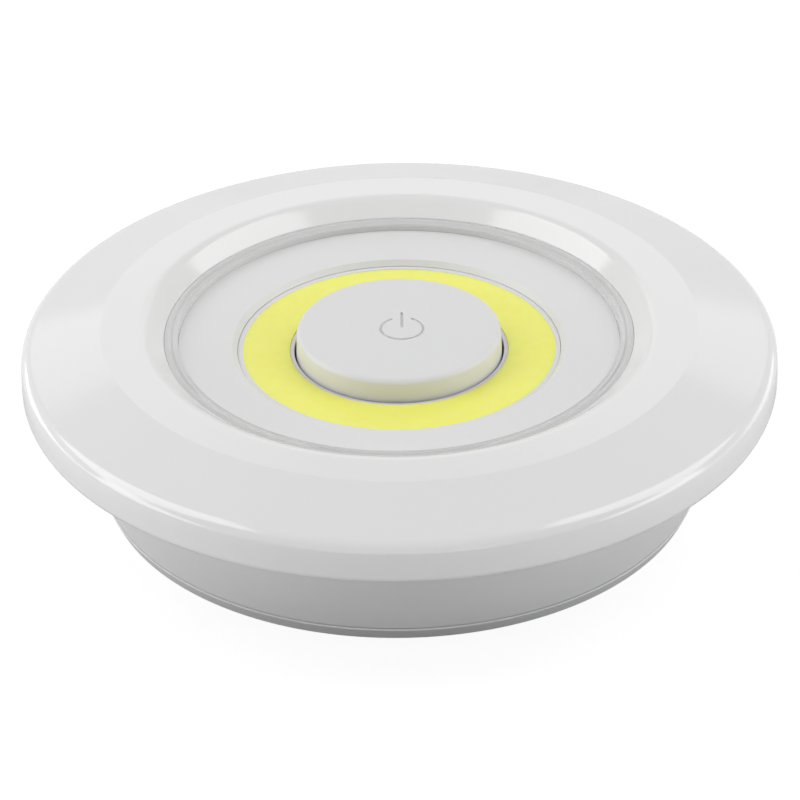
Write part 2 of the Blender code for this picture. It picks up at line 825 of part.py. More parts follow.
def make_driver_board():
    middle = (0.0, 0.0, (board_z + board_top_z) / 2)
    size = (board_length, BOARD_WIDTH, BOARD_THICKNESS)
    board = block("driver_board", size, middle, board_green(), parts)
    for index, (across, along) in enumerate(board_screw_places(), start=1):
        hole = rod(f"board_hole_{index}", BOARD_SCREW_RADIUS + SEAT_GAP,
                   BOARD_THICKNESS + 2 * CUT_OVERRUN, (across, along, middle[2]), SCREW_HOLE_STEPS)
        cut(board, hole)
    return settle(board)


def make_board_screws():
    """Two small pan head screws, turned in one outline and copied."""
    head_z = BOARD_THICKNESS + 2 * SEAT_GAP
    soft = BOARD_SCREW_HEAD_HEIGHT / 2
    outline = [
        (0.0, head_z + BOARD_SCREW_HEAD_HEIGHT),
        (BOARD_SCREW_HEAD_RADIUS - soft, head_z + BOARD_SCREW_HEAD_HEIGHT),
        (BOARD_SCREW_HEAD_RADIUS, head_z + soft),
        (BOARD_SCREW_HEAD_RADIUS, head_z),
        (BOARD_SCREW_RADIUS, head_z),
        (BOARD_SCREW_RADIUS, -BOARD_SCREW_BITE),
        (0.0, -BOARD_SCREW_BITE),
    ]
    first = settle(turned("board_screw_1", outline, SCREW_STEPS, nickel_steel(), closed=False))
    second = place(bpy.data.objects.new("board_screw_2", first.data), None, parts)
    for screw, (across, along) in zip((first, second), board_screw_places()):
        screw.location = (across, along, partition_top_z)
    return [first, second]


def make_driver_chip():
    size = (CHIP_LENGTH, CHIP_WIDTH, CHIP_HEIGHT)
    middle = (CHIP_OFFSET, CHIP_WIDTH, mounted_z + CHIP_HEIGHT / 2)
    return block("driver_chip", size, middle, black_moulding(), parts)


def make_resistors():
    size = (RESISTOR_LENGTH, RESISTOR_WIDTH, RESISTOR_HEIGHT)
    pieces = []
    for index, side in enumerate((-1, 1), start=1):
        middle = (-RESISTOR_OFFSET, side * RESISTOR_SPACING / 2, mounted_z + RESISTOR_HEIGHT / 2)
        pieces.append(block(f"resistor_{index}", size, middle, black_moulding(), parts))
    return pieces


def make_capacitor():
    middle = (CAPACITOR_OFFSET, -CHIP_WIDTH, mounted_z + CAPACITOR_HEIGHT / 2)
    return settle(rod("capacitor", CAPACITOR_RADIUS, CAPACITOR_HEIGHT, middle,
                      material=capacitor_can(), home=parts))


# Cells and contacts

def cell_rows():
    """Each cell's place across the bay and the side that its positive end faces."""
    rows = []
    for index in range(CELL_COUNT):
        across = (index - (CELL_COUNT - 1) / 2) * cell_pitch
        rows.append((across, -1 if index % 2 == 0 else 1))
    return rows


def make_cells():
    """Cells that lie along X, the neighbours pointing opposite ways."""
    can_top = CELL_LENGTH - CELL_NUB_HEIGHT
    outline = [(0.0, CELL_LENGTH), (CELL_NUB_RADIUS, CELL_LENGTH), (CELL_NUB_RADIUS, can_top)]
    outline += [(CELL_RADIUS - CELL_EDGE_ROUND, can_top), (CELL_RADIUS, can_top - CELL_EDGE_ROUND)]
    outline += [(CELL_RADIUS, CELL_EDGE_ROUND), (CELL_RADIUS - CELL_EDGE_ROUND, 0.0), (0.0, 0.0)]
    first = settle(turned("cell_1", outline, SMALL_STEPS, cell_jacket(), closed=False))
    pieces = [first]
    for index in range(2, CELL_COUNT + 1):
        pieces.append(place(bpy.data.objects.new(f"cell_{index}", first.data), None, parts))
    for cell, (across, side) in zip(pieces, cell_rows()):
        foot_x = side * (bay_half_length - SEAT_GAP - CELL_LENGTH)
        cell.location = (foot_x, across, cell_axis_z)
        cell.rotation_euler = (0.0, side * math.pi / 2, 0.0)
    return pieces


def contact_plate(name, side, low_row, high_row, with_tab):
    """Upright contact plate across one or two cells, with a tab to the board if asked."""
    rows = cell_rows()
    low = rows[low_row][0] - CONTACT_WIDTH / 2
    high = rows[high_row][0] + CONTACT_WIDTH / 2
    foot = cell_axis_z - CONTACT_HEIGHT / 2
    top = cell_axis_z + CONTACT_HEIGHT / 2
    ring = [(low, foot), (high, foot), (high, top)]
    if with_tab:
        middle = (low + high) / 2
        tab_top = partition_top_z + TAB_RISE
        ring += [(middle + TAB_WIDTH / 2, top), (middle + TAB_WIDTH / 2, tab_top)]
        ring += [(middle - TAB_WIDTH / 2, tab_top), (middle - TAB_WIDTH / 2, top)]
    ring.append((low, top))
    plate = outline_curve(name, [ring], CONTACT_THICKNESS)
    plate.rotation_euler = (math.pi / 2, 0.0, math.pi / 2)
    plate.location = (side * (bay_half_length + CONTACT_THICKNESS / 2), 0.0, 0.0)
    return as_mesh(plate, nickel_steel(), parts)


def make_contacts():
    """End contacts with tabs, and the bridges that join neighbouring cells."""
    return [
        contact_plate("contact_positive", -1, 0, 0, with_tab=True),
        contact_plate("bridge_left", -1, 1, 2, with_tab=False),
        contact_plate("bridge_right", 1, 0, 1, with_tab=False),
        contact_plate("contact_negative", 1, 2, 2, with_tab=True),
    ]


def make_cell_springs():
    """Conical springs that press on the flat end of each cell."""
    pieces = []
    reach = SPRING_LENGTH - 2 * SPRING_WIRE_RADIUS
    for index, (across, side) in enumerate(cell_rows(), start=1):
        points = coil(SPRING_TURNS, SPRING_BASE_RADIUS, SPRING_TIP_RADIUS, reach)
        spring = wire(f"cell_spring_{index}", points, SPRING_WIRE_RADIUS, COIL_RESOLUTION,
                      nickel_steel())
        base_x = -side * (bay_half_length - SEAT_GAP - SPRING_WIRE_RADIUS)
        spring.location = (base_x, across, cell_axis_z)
        spring.rotation_euler = (0.0, side * math.pi / 2, 0.0)
        pieces.append(spring)
    return pieces


# Leads

def make_led_leads():
    """Two leads from the driver board, up through the carrier, to the LED board."""
    pieces = []
    hole_x = lead_hole_radius_at()
    low_z = mounted_z + LEAD_RADIUS
    high_z = glow_foot_z + LEAD_RADIUS
    start_x = board_length / 2 - LED_PAD_INSET
    plate_z = (carrier_z + carrier_top_z) / 2
    for name, side, material in (("led_lead_black", -1, black_insulation()),
                                 ("led_lead_red", 1, red_insulation())):
        along = side * LED_LEAD_SPACING / 2
        knots = [
            (start_x, along, low_z),
            ((start_x + hole_x) / 2, along, low_z),
            (hole_x, along, (low_z + plate_z) / 2),
            (hole_x, along, plate_z),
            (hole_x, along, led_board_z),
            (hole_x - LEAD_RADIUS, along, high_z),
            (led_board_radius - LED_PAD_INSET, along, high_z),
        ]
        pieces.append(wire(name, smooth_route(knots), LEAD_RADIUS, LEAD_RESOLUTION, material))
    return pieces


def make_battery_leads():
    """Short leads from the contact tabs to the ends of the driver board."""
    pieces = []
    low_z = partition_top_z + SEAT_GAP + LEAD_RADIUS
    high_z = mounted_z + LEAD_RADIUS
    tab_x = bay_half_length - SEAT_GAP - LEAD_RADIUS
    edge_x = board_length / 2
    board_y = BOARD_WIDTH / 2 - BOARD_EDGE_INSET
    for name, side, row, material in (("battery_lead_red", -1, 0, red_insulation()),
                                      ("battery_lead_black", 1, CELL_COUNT - 1, black_insulation())):
        tab_y = cell_rows()[row][0]
        knots = [
            (side * tab_x, tab_y, (low_z + high_z) / 2),
            (side * (tab_x + edge_x) / 2, (tab_y + side * board_y) / 2, high_z),
            (side * (edge_x - LED_PAD_INSET), side * board_y, high_z),
        ]
        pieces.append(wire(name, smooth_route(knots), LEAD_RADIUS, LEAD_RESOLUTION, material))
    return pieces


# Cup and cover

def cup_outline():
    """Section of the cup: a wall round a partition, open above and below it."""
    return [
        (0.0, partition_top_z),
        (cup_inner_radius, partition_top_z),
        (cup_inner_radius, cup_top_z),
        (cup_radius, cup_top_z),
        (cup_radius, rim_foot_z),
        (cup_foot_radius, BAND_HEIGHT + SEAT_GAP),
        (cup_inner_radius, BAND_HEIGHT + SEAT_GAP),
        (cup_inner_radius, partition_z),
        (0.0, partition_z),
    ]


def bay_walls():
    """Four walls round the cells and the low ribs between them."""
    height = BAY_WALL_DEPTH + PARTITION / 2
    middle_z = partition_z + PARTITION / 2 - height / 2
    long_side = 2 * (bay_wall_x + BAY_WALL)
    short_side = 2 * bay_half_width
    walls = []
    for index, side in enumerate((-1, 1), start=1):
        side_y = side * (bay_half_width + BAY_WALL / 2)
        walls.append(block(f"bay_side_{index}", (long_side, BAY_WALL, height), (0.0, side_y, middle_z)))
        end_x = side * (bay_wall_x + BAY_WALL / 2)
        size = (BAY_WALL, short_side + BAY_WALL, height)
        walls.append(block(f"bay_end_{index}", size, (end_x, 0.0, middle_z)))
    rib_height = CELL_RIB_DEPTH + PARTITION / 2
    rib_z = partition_z + PARTITION / 2 - rib_height / 2
    for index in range(1, CELL_COUNT):
        across = (cell_rows()[index - 1][0] + cell_rows()[index][0]) / 2
        size = (CELL_RIB_LENGTH, CELL_RIB_WALL, rib_height)
        walls.append(block(f"cell_rib_{index}", size, (0.0, across, rib_z)))
    return walls


def lug(name, reach, angle, foot_z, width=LUG_WIDTH, height=LUG_THICKNESS, aside=0.0):
    """One bayonet lug or stop, a block that stands across a radius, or beside it."""
    inner, outer = reach
    middle = Vector(((inner + outer) / 2, aside, foot_z + height / 2))
    piece = block(name, (outer - inner, width, height), Matrix.Rotation(angle, 3, "Z") @ middle)
    piece.rotation_euler = (0.0, 0.0, angle)
    return piece


def cover_lug_z():
    """Underside of the cover's lugs, at the top of its bayonet ring."""
    return cover_inner_z + BAYONET_RING_HEIGHT - LUG_THICKNESS


def make_cup():
    cup = turned("housing_cup", cup_outline(), BIG_STEPS, gloss_white(), closed=False)
    join(cup, *bay_walls())
    lug_z = cover_lug_z() - SEAT_GAP - LUG_THICKNESS
    lug_reach = (bayonet_ring_radius + CUP_LUG_CLEARANCE, cup_inner_radius + CUP_WALL / 2)
    stop_height = 2 * LUG_THICKNESS + SEAT_GAP
    stop_aside = (LUG_WIDTH + LUG_STOP_WIDTH) / 2 + SEAT_GAP
    for index, angle in enumerate(lug_angles(), start=1):
        join(cup, lug(f"cup_lug_{index}", lug_reach, angle, lug_z, LUG_WIDTH + 2 * LUG_STOP_WIDTH))
        join(cup, lug(f"cup_stop_{index}", lug_reach, angle, lug_z, LUG_STOP_WIDTH, stop_height,
                      stop_aside))
    hole_depth = PARTITION + 2 * CUT_OVERRUN
    middle_z = partition_z + PARTITION / 2
    for index, angle in enumerate(boss_angles(), start=1):
        middle = around(boss_circle_radius, angle, middle_z)
        cut(cup, rod(f"case_hole_{index}", SCREW_SHANK_RADIUS + SEAT_GAP, hole_depth, middle,
                     SCREW_HOLE_STEPS))
    slot = (CONTACT_THICKNESS + 2 * SEAT_GAP, TAB_WIDTH + 2 * SEAT_GAP, hole_depth)
    for index, (side, row) in enumerate(((-1, 0), (1, CELL_COUNT - 1)), start=1):
        slot_x = side * (bay_half_length + CONTACT_THICKNESS / 2)
        cut(cup, block(f"tab_slot_{index}", slot, (slot_x, cell_rows()[row][0], middle_z)))
    for index, (across, along) in enumerate(board_screw_places(), start=1):
        depth = BOARD_SCREW_BITE + SEAT_GAP + CUT_OVERRUN
        top = partition_top_z + CUT_OVERRUN
        pilot = rod(f"pilot_{index}", BOARD_SCREW_RADIUS + SEAT_GAP, depth,
                    (across, along, top - depth / 2), SCREW_HOLE_STEPS)
        cut(cup, pilot)
    return settle(cup)


def cover_outline():
    """Section of the back cover: recess, tapered band, ledge and bayonet ring."""
    band_foot_radius = band_radius - BAND_TAPER
    ring_inner = bayonet_ring_radius - BAYONET_RING_WALL
    ring_top_z = cover_inner_z + BAYONET_RING_HEIGHT
    band_top = (band_radius, BAND_HEIGHT)
    band_foot = (band_foot_radius, 0.0)
    recess_radius = PAD_RADIUS + SEAT_GAP
    outline = [
        (0.0, cover_inner_z),
        (ring_inner, cover_inner_z),
        (ring_inner, ring_top_z),
        (bayonet_ring_radius, ring_top_z),
        (bayonet_ring_radius, BAND_HEIGHT),
    ]
    outline += fillet((bayonet_ring_radius, BAND_HEIGHT), band_top, band_foot, BAND_TOP_ROUND, 2)
    outline += fillet(band_top, band_foot, (recess_radius, 0.0), BAND_FOOT_ROUND)
    outline += [(recess_radius, 0.0), (recess_radius, pad_recess_z), (0.0, pad_recess_z)]
    return outline


def grip_recess(index, side):
    """Stadium shaped recess for a thumb, cut in the cover's rest face."""
    grip_x = side * (PAD_RADIUS + band_radius - BAND_TAPER) / 2
    half = (GRIP_LENGTH - GRIP_WIDTH) / 2
    ring = []
    for turn, along in ((0.0, half), (math.pi, -half)):
        for step in range(ROUND_SEGMENTS * 2 + 1):
            angle = turn + math.pi * step / (ROUND_SEGMENTS * 2)
            ring.append((GRIP_WIDTH / 2 * math.cos(angle), along + GRIP_WIDTH / 2 * math.sin(angle)))
    recess = outline_curve(f"grip_{index}", [ring], 2 * GRIP_DEPTH)
    recess.location = (grip_x, 0.0, 0.0)
    return as_mesh(recess, None, tools)


def make_cover():
    cover = turned("back_cover", cover_outline(), BIG_STEPS, gloss_white(), closed=False)
    for index, angle in enumerate(lug_angles(), start=1):
        reach = (bayonet_ring_radius - BAYONET_RING_WALL / 2, bayonet_ring_radius + COVER_LUG_REACH)
        join(cover, lug(f"cover_lug_{index}", reach, angle, cover_lug_z()))
    for index, side in enumerate((-1, 1), start=1):
        cut(cover, grip_recess(index, side))
    return settle(cover)


def make_mounting_pad():
    middle = (0.0, 0.0, PAD_THICKNESS / 2)
    return settle(rod("mounting_pad", PAD_RADIUS, PAD_THICKNESS, middle, steps=MIDDLE_STEPS,
                      material=foam_tape(), home=parts))


def make_case_screws():
    """Pan head screws with a cross slot, driven up from inside the back of the cup."""
    soft = SCREW_HEAD_HEIGHT / 2
    outline = [
        (0.0, SCREW_LENGTH),
        (SCREW_SHANK_RADIUS / 2, SCREW_LENGTH),
        (SCREW_SHANK_RADIUS, SCREW_LENGTH - SCREW_SHANK_RADIUS),
        (SCREW_SHANK_RADIUS, 0.0),
        (SCREW_HEAD_RADIUS, 0.0),
        (SCREW_HEAD_RADIUS, -soft),
        (SCREW_HEAD_RADIUS - soft, -SCREW_HEAD_HEIGHT),
        (0.0, -SCREW_HEAD_HEIGHT),
    ]
    first = turned("case_screw_1", outline, SCREW_STEPS, nickel_steel(), closed=False)
    slot_height = SCREW_SLOT_DEPTH + CUT_OVERRUN
    slot_z = SCREW_SLOT_DEPTH - SCREW_HEAD_HEIGHT - slot_height / 2
    slot_length = 2 * (SCREW_HEAD_RADIUS - soft)
    cut(first, block("slot_1", (slot_length, SCREW_SLOT_WIDTH, slot_height), (0.0, 0.0, slot_z)))
    cut(first, block("slot_2", (SCREW_SLOT_WIDTH, slot_length, slot_height), (0.0, 0.0, slot_z)))
    settle(first)
    pieces = [first]
    for index in range(2, SCREW_COUNT + 1):
        pieces.append(place(bpy.data.objects.new(f"case_screw_{index}", first.data), None, parts))
    for screw, angle in zip(pieces, boss_angles()):
        screw.location = around(boss_circle_radius, angle, partition_z - SEAT_GAP)
    return pieces


# Assembly

def carry(name, height, pieces):
    """Parent pieces to an empty on the light's axis, and keep them where they are."""
    holder = bpy.data.objects.new(name, None)
    parts.objects.link(holder)
    holder.location = (0.0, 0.0, height)
    bpy.context.view_layer.update()
    for piece in pieces:
        seat = piece.matrix_world.copy()
        piece.parent = holder
        piece.matrix_parent_inverse = holder.matrix_world.inverted()
        piece.matrix_world = seat
    return holder


def build_puck_light():
    clear_scene()
    face = [make_bezel(), make_lens_ring(), make_reflector_dish()]
    glow = [make_phosphor_ring(), make_inner_dam(), make_outer_dam(), make_led_board()]
    inside = [make_led_carrier(), make_driver_board(), make_switch_body(), make_driver_chip()]
    inside += [make_capacitor(), make_return_spring(), *make_resistors(), *make_board_screws()]
    power = [*make_cells(), *make_contacts(), *make_cell_springs()]
    leads = [*make_led_leads(), *make_battery_leads()]
    case = [make_cup(), *make_case_screws()]
    carry("housing_frame", partition_top_z, face + glow + inside + power + leads + case)
    carry("button_axis", button_foot_z, [make_button_cap(), make_switch_plunger()])
    carry("cover_axis", 0.0, [make_cover(), make_mounting_pad()])


build_puck_light()
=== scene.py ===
"""Looks of a battery puck light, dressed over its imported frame.

The light lies on its back with its lit face up. Sizes are in millimetres and become metres where
a mesh is made. Heights are measured from the floor and radii from the light's axis. A corner of a
section is given as its radius, its height and, where its edge is round, the rounding's radius.
"""

import logging
import math
from dataclasses import dataclass, field, replace
from enum import Enum

import bmesh
import bpy
from mathutils import Matrix, Vector

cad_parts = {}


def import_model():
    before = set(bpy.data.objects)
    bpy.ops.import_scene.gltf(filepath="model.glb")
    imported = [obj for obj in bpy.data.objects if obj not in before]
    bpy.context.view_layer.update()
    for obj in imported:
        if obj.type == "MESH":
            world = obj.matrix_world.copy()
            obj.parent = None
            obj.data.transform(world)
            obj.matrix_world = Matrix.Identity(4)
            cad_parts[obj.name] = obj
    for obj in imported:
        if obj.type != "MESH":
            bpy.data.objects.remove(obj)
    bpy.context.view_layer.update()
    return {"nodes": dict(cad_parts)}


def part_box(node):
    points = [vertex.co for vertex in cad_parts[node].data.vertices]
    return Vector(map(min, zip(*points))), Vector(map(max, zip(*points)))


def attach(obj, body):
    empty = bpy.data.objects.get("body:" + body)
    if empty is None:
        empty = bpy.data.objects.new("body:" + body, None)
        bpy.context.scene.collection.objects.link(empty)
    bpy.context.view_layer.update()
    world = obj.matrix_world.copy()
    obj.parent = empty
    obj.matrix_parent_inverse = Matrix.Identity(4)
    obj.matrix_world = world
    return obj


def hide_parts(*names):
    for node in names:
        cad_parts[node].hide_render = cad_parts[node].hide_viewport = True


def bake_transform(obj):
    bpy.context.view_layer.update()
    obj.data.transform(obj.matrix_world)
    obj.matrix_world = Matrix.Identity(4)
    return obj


LOG = logging.getLogger("puck_light")
MM = 0.001
MERGE_DISTANCE = 0.0005 * MM
SHARP_ANGLE = math.radians(28)
AXIS = (0.0, 0.0)
SIDES = (-1, 1)
HALVES = (math.pi, 0.0)
THIRDS = tuple(math.radians(angle) for angle in (30, 150, 270))
SCREW_START, SCREW_SWEEP = math.radians(90), math.radians(240)

Pair = tuple[float, float]
Triple = tuple[float, float, float]
Corner = tuple[float, ...]
Line = tuple[Corner, ...]
Block = tuple[Triple, Triple]
Source = bpy.types.NodeSocket
Piece = bpy.types.Object


class Body(Enum):
    """The bodies of the frame that pieces ride on."""

    HOUSING = "housing"
    BUTTON = "button"
    COVER = "cover"


class Grain(Enum):
    """How the fine relief of a surface is laid."""

    POLISHED = "polished"
    SATIN = "satin"
    CAST = "cast"
    FOAM = "foam"
    LAMINATE = "laminate"
    BRUSHED = "brushed"


NOISE_DETAIL = {Grain.POLISHED: 1.0, Grain.SATIN: 6.0, Grain.CAST: 3.0, Grain.BRUSHED: 5.0}
BRUSH_STRETCH = (1.0, 1.0, 12.0)
WEAVE_DISTORTION = 0.5
PATCH_DETAIL = 4.0
PATCH_RANGE = (0.3, 0.7)
DEEP_RANGE = (0.3, 0.75)
DEEP_SHARE = (0.6, 0.0)
LEAST_ROUGHNESS = 0.02


class NodeGraph:
    """Short hand for adding nodes to one tree."""

    def __init__(self, tree: bpy.types.NodeTree) -> None:
        """Start on a tree."""
        self.tree = tree

    def feed(self, entry: Source, source: object) -> None:
        """Link an input to a socket, or give it a constant.

        Args:
            entry: The input.
            source: The output socket or the constant that feeds it.
        """
        if isinstance(source, Source):
            self.tree.links.new(source, entry)
        else:
            entry.default_value = source

    def add(self, kind: str, feeds: dict | None = None, **settings: object) -> bpy.types.Node:
        """Add a node, set it and feed its inputs.

        Args:
            kind: The node's type name.
            feeds: Input name or number to the socket or constant that feeds it.
            **settings: Properties of the node itself.

        Returns:
            The new node.
        """
        node = self.tree.nodes.new(kind)
        for key, value in settings.items():
            setattr(node, key, value)
        for key, source in (feeds or {}).items():
            self.feed(node.inputs[key], source)
        return node

    def maths(self, operation: str, *terms: Source | float) -> Source:
        """Work out one step, such as ADD, on sockets or constants."""
        return self.add("ShaderNodeMath", dict(enumerate(terms)), operation=operation).outputs[0]

    def blend(self, share: Source, low: Source | Triple, high: Source | Triple) -> Source:
        """Blend two colours.

        Args:
            share: How much of the second colour shows.
            low: The first colour, or its socket.
            high: The second colour, or its socket.

        Returns:
            The blended colour's socket.
        """
        low, high = [(*colour, 1.0) if isinstance(colour, tuple) else colour
                     for colour in (low, high)]
        return self.add("ShaderNodeMix", {0: share, 6: low, 7: high}, data_type="RGBA").outputs[2]

    def ranged(self, value: Source, start: Pair, end: tuple[Source | float, float] = (0.0, 1.0),
               smooth: bool = False) -> Source:
        """Carry a value from one range over to another.

        Args:
            value: The value.
            start: The range that it comes from.
            end: The range that it goes to.
            smooth: Whether it leaves and arrives softly.

        Returns:
            The carried value's socket.
        """
        feeds = {"Value": value, "From Min": start[0], "From Max": start[1],
                 "To Min": end[0], "To Max": end[1]}
        kind = "SMOOTHSTEP" if smooth else "LINEAR"
        return self.add("ShaderNodeMapRange", feeds, interpolation_type=kind).outputs[0]

    def polar(self, radius: Source, angle: Source, height: Source) -> Source:
        """Point at a radius, an angle about the upright and a height.

        Args:
            radius: Its distance from the axis.
            angle: Its angle from X.
            height: Its height.

        Returns:
            The point's socket.
        """
        across, along = [self.maths("MULTIPLY", radius, self.maths(wave, angle))
                         for wave in ("COSINE", "SINE")]
        return self.add("ShaderNodeCombineXYZ", {0: across, 1: along, 2: height}).outputs[0]


@dataclass(frozen=True)
class Finish:
    """One surface finish: colour, gloss and fine relief, all procedural."""

    name: str
    slot: str
    colour: Triple
    roughness: float
    grain: Grain = Grain.SATIN
    grain_size: float = 0.8
    relief: float = 0.004
    tint: float = 0.015
    patch: float = 25.0
    gloss_spread: float = 0.03
    metallic: float = 0.0
    transmission: float = 0.0
    ior: float = 1.5
    subsurface: float = 0.0
    deep_colour: Triple | None = None

    def material(self) -> bpy.types.Material:
        """Make the material once, and share it after that.

        Returns:
            The finished material.
        """
        made = bpy.data.materials.get(self.name)
        if made:
            return made
        made = bpy.data.materials.new(self.name)
        made.use_nodes = True
        made.diffuse_color = (*self.colour, 1.0)
        graph = NodeGraph(made.node_tree)
        place = graph.add("ShaderNodeTexCoord").outputs["Object"]
        patches = graph.add("ShaderNodeTexNoise", {
            "Vector": place, "Scale": 1 / (self.patch * MM),
            "Detail": PATCH_DETAIL}).outputs["Fac"]
        relief = self.relief_height(graph, place)
        bump = graph.add("ShaderNodeBump", {
            "Height": relief, "Strength": 1.0, "Distance": self.relief * MM})
        gloss = (max(LEAST_ROUGHNESS, self.roughness - self.gloss_spread),
                 self.roughness + self.gloss_spread)
        entries = made.node_tree.nodes["Principled BSDF"].inputs
        for label, source in {
                "Base Color": self.surface_colour(graph, patches, relief),
                "Roughness": graph.ranged(patches, PATCH_RANGE, gloss),
                "Normal": bump.outputs["Normal"],
                "Metallic": self.metallic,
                "Transmission Weight": self.transmission,
                "IOR": self.ior,
                "Subsurface Weight": self.subsurface,
                "Subsurface Scale": MM}.items():
            graph.feed(entries[label], source)
        return made

    def relief_height(self, graph: NodeGraph, place: Source) -> Source:
        """Lay the fine relief that the grain names.

        Args:
            graph: The material's graph.
            place: The object coordinates.

        Returns:
            The relief's height.
        """
        laid = {"Vector": place, "Scale": 1 / (self.grain_size * MM)}
        if self.grain is Grain.FOAM:
            return graph.add("ShaderNodeTexVoronoi", laid).outputs["Distance"]
        if self.grain is Grain.LAMINATE:
            return graph.maths("MULTIPLY", *[
                graph.add("ShaderNodeTexWave", {**laid, "Distortion": WEAVE_DISTORTION},
                          bands_direction=way).outputs["Fac"] for way in "XY"])
        if self.grain is Grain.BRUSHED:
            stretch = {"Vector": place, "Scale": BRUSH_STRETCH}
            laid["Vector"] = graph.add("ShaderNodeMapping", stretch).outputs[0]
        noise = graph.add("ShaderNodeTexNoise", {**laid, "Detail": NOISE_DETAIL[self.grain]})
        return noise.outputs["Fac"]

    def surface_colour(self, graph: NodeGraph, patches: Source, relief: Source) -> Source:
        """Let the colour wander a little over the surface.

        Args:
            graph: The material's graph.
            patches: Broad soft patches.
            relief: The fine relief, whose low places show the deep colour.

        Returns:
            The colour's socket.
        """
        low, high = [tuple(min(1.0, part * share) for part in self.colour)
                     for share in (1 - self.tint, 1 + self.tint)]
        colour = graph.blend(patches, low, high)
        if self.deep_colour:
            share = graph.ranged(relief, DEEP_RANGE, DEEP_SHARE)
            colour = graph.blend(share, colour, self.deep_colour)
        return colour


GLOSS_WHITE = Finish("gloss white moulding", "gloss_white", (0.80, 0.80, 0.80), 0.12,
                     Grain.POLISHED, grain_size=9.0, relief=0.005, tint=0.006, gloss_spread=0.02,
                     ior=1.58)
CUP_WHITE = Finish("cup white moulding", "gloss_white", (0.81, 0.81, 0.815), 0.30, grain_size=0.5,
                   relief=0.002, tint=0.003, patch=60.0, gloss_spread=0.006)
SATIN_WHITE = Finish("satin grey white moulding", "satin_grey_white", (0.75, 0.75, 0.752), 0.42,
                     grain_size=0.25, relief=0.0025, tint=0.008)
# Lighter copy of the satin grey white for the dish alone: painted light that brightens the dish.
DISH_WHITE_PAINTED_LIGHT = replace(SATIN_WHITE, name="satin dish moulding", colour=(0.785, 0.785, 0.787))
CLEAR = Finish("clear moulding", "clear_plastic", (0.80, 0.80, 0.80), 0.12, Grain.POLISHED,
               grain_size=6.0, relief=0.006, transmission=0.22, ior=1.49, gloss_spread=0.02)
PHOSPHOR = Finish("yellow phosphor casting", "phosphor_yellow", (0.96, 0.955, 0.20), 0.42,
                  Grain.CAST, grain_size=1.6, relief=0.010, tint=0.03, patch=9.0, subsurface=0.2,
                  deep_colour=(0.94, 0.92, 0.13))
SILICONE = Finish("white silicone bead", "white_silicone", (0.77, 0.765, 0.78), 0.40, Grain.CAST,
                  grain_size=1.2, relief=0.008)
# Darker lilac-grey copy of the white silicone for the inner dam: painted shade of the narrow gap
# beside the button.
SILICONE_PAINTED_SHADE = replace(SILICONE, name="lilac grey silicone bead", colour=(0.72, 0.70, 0.76),
                         roughness=0.45, relief=0.010)
BOARD_MASK = Finish("white board lacquer", "white_mask", (0.80, 0.80, 0.78), 0.35, Grain.LAMINATE,
                    grain_size=0.6, relief=0.002)
INNER_WHITE = Finish("inner white moulding", "inner_white", (0.75, 0.75, 0.74), 0.45,
                     grain_size=0.4)
BOARD_GREEN = Finish("green board laminate", "board_green", (0.03, 0.20, 0.08), 0.32,
                     Grain.LAMINATE, grain_size=0.5, relief=0.006, tint=0.06,
                     deep_colour=(0.02, 0.14, 0.06))
BLACK = Finish("black moulding", "black_moulding", (0.03, 0.03, 0.03), 0.45, grain_size=0.2,
               relief=0.006)
NICKEL = Finish("nickel plating", "nickel_steel", (0.70, 0.69, 0.66), 0.26, Grain.BRUSHED,
                grain_size=0.5, relief=0.003, metallic=1.0, tint=0.05)
SOLDER = Finish("bright solder", "nickel_steel", (0.66, 0.66, 0.67), 0.30, Grain.CAST,
                grain_size=0.5, relief=0.02, metallic=1.0)
JACKET = Finish("cell jacket film", "cell_jacket", (0.14, 0.18, 0.25), 0.28, grain_size=1.0,
                metallic=0.3, tint=0.05)
JACKET_BAND = replace(JACKET, name="cell jacket bright band", colour=(0.55, 0.57, 0.60),
                      roughness=0.30, metallic=0.6, tint=0.04)
CAN = Finish("capacitor can", "capacitor_can", (0.72, 0.72, 0.74), 0.30, Grain.BRUSHED,
             grain_size=0.4, relief=0.003, metallic=0.9)
RED = Finish("red insulation", "red_insulation", (0.60, 0.03, 0.02), 0.42, grain_size=0.5,
             tint=0.06)
DARK = Finish("black insulation", "black_insulation", (0.02, 0.02, 0.02), 0.42, grain_size=0.5)
FOAM = Finish("foam tape", "foam_tape", (0.84, 0.84, 0.82), 0.85, Grain.FOAM, grain_size=0.35,
              relief=0.05, tint=0.03, deep_colour=(0.66, 0.66, 0.63))


def linked(name: str, data: bpy.types.ID) -> Piece:
    """Put an object with the given data into the scene.

    Args:
        name: Name of the object.
        data: Its mesh, curve, lamp or camera.

    Returns:
        The new object.
    """
    piece = bpy.data.objects.new(name, data)
    bpy.context.scene.collection.objects.link(piece)
    return piece


def settled(piece: Piece) -> Piece:
    """Swap a piece's modifiers for the mesh that they make.

    Args:
        piece: A mesh object in the scene.

    Returns:
        The same object, with a plain mesh.
    """
    bpy.context.view_layer.update()
    shown = piece.evaluated_get(bpy.context.evaluated_depsgraph_get())
    mesh = bpy.data.meshes.new_from_object(shown)
    piece.modifiers.clear()
    piece.data = mesh
    mesh.name = piece.name
    return piece


def tidied(piece: Piece, recalculate: bool = True) -> Piece:
    """Merge doubles, turn the faces outward and mark the sharp edges.

    Args:
        piece: A closed mesh object.
        recalculate: Whether the faces' directions are worked out anew.

    Returns:
        The same object.
    """
    shape = bmesh.new()
    shape.from_mesh(piece.data)
    bmesh.ops.remove_doubles(shape, verts=shape.verts, dist=MERGE_DISTANCE)
    if recalculate:
        bmesh.ops.recalc_face_normals(shape, faces=shape.faces)
    shape.to_mesh(piece.data)
    shape.free()
    piece.data.shade_smooth()
    piece.data.set_sharp_from_angle(angle=SHARP_ANGLE)
    return piece


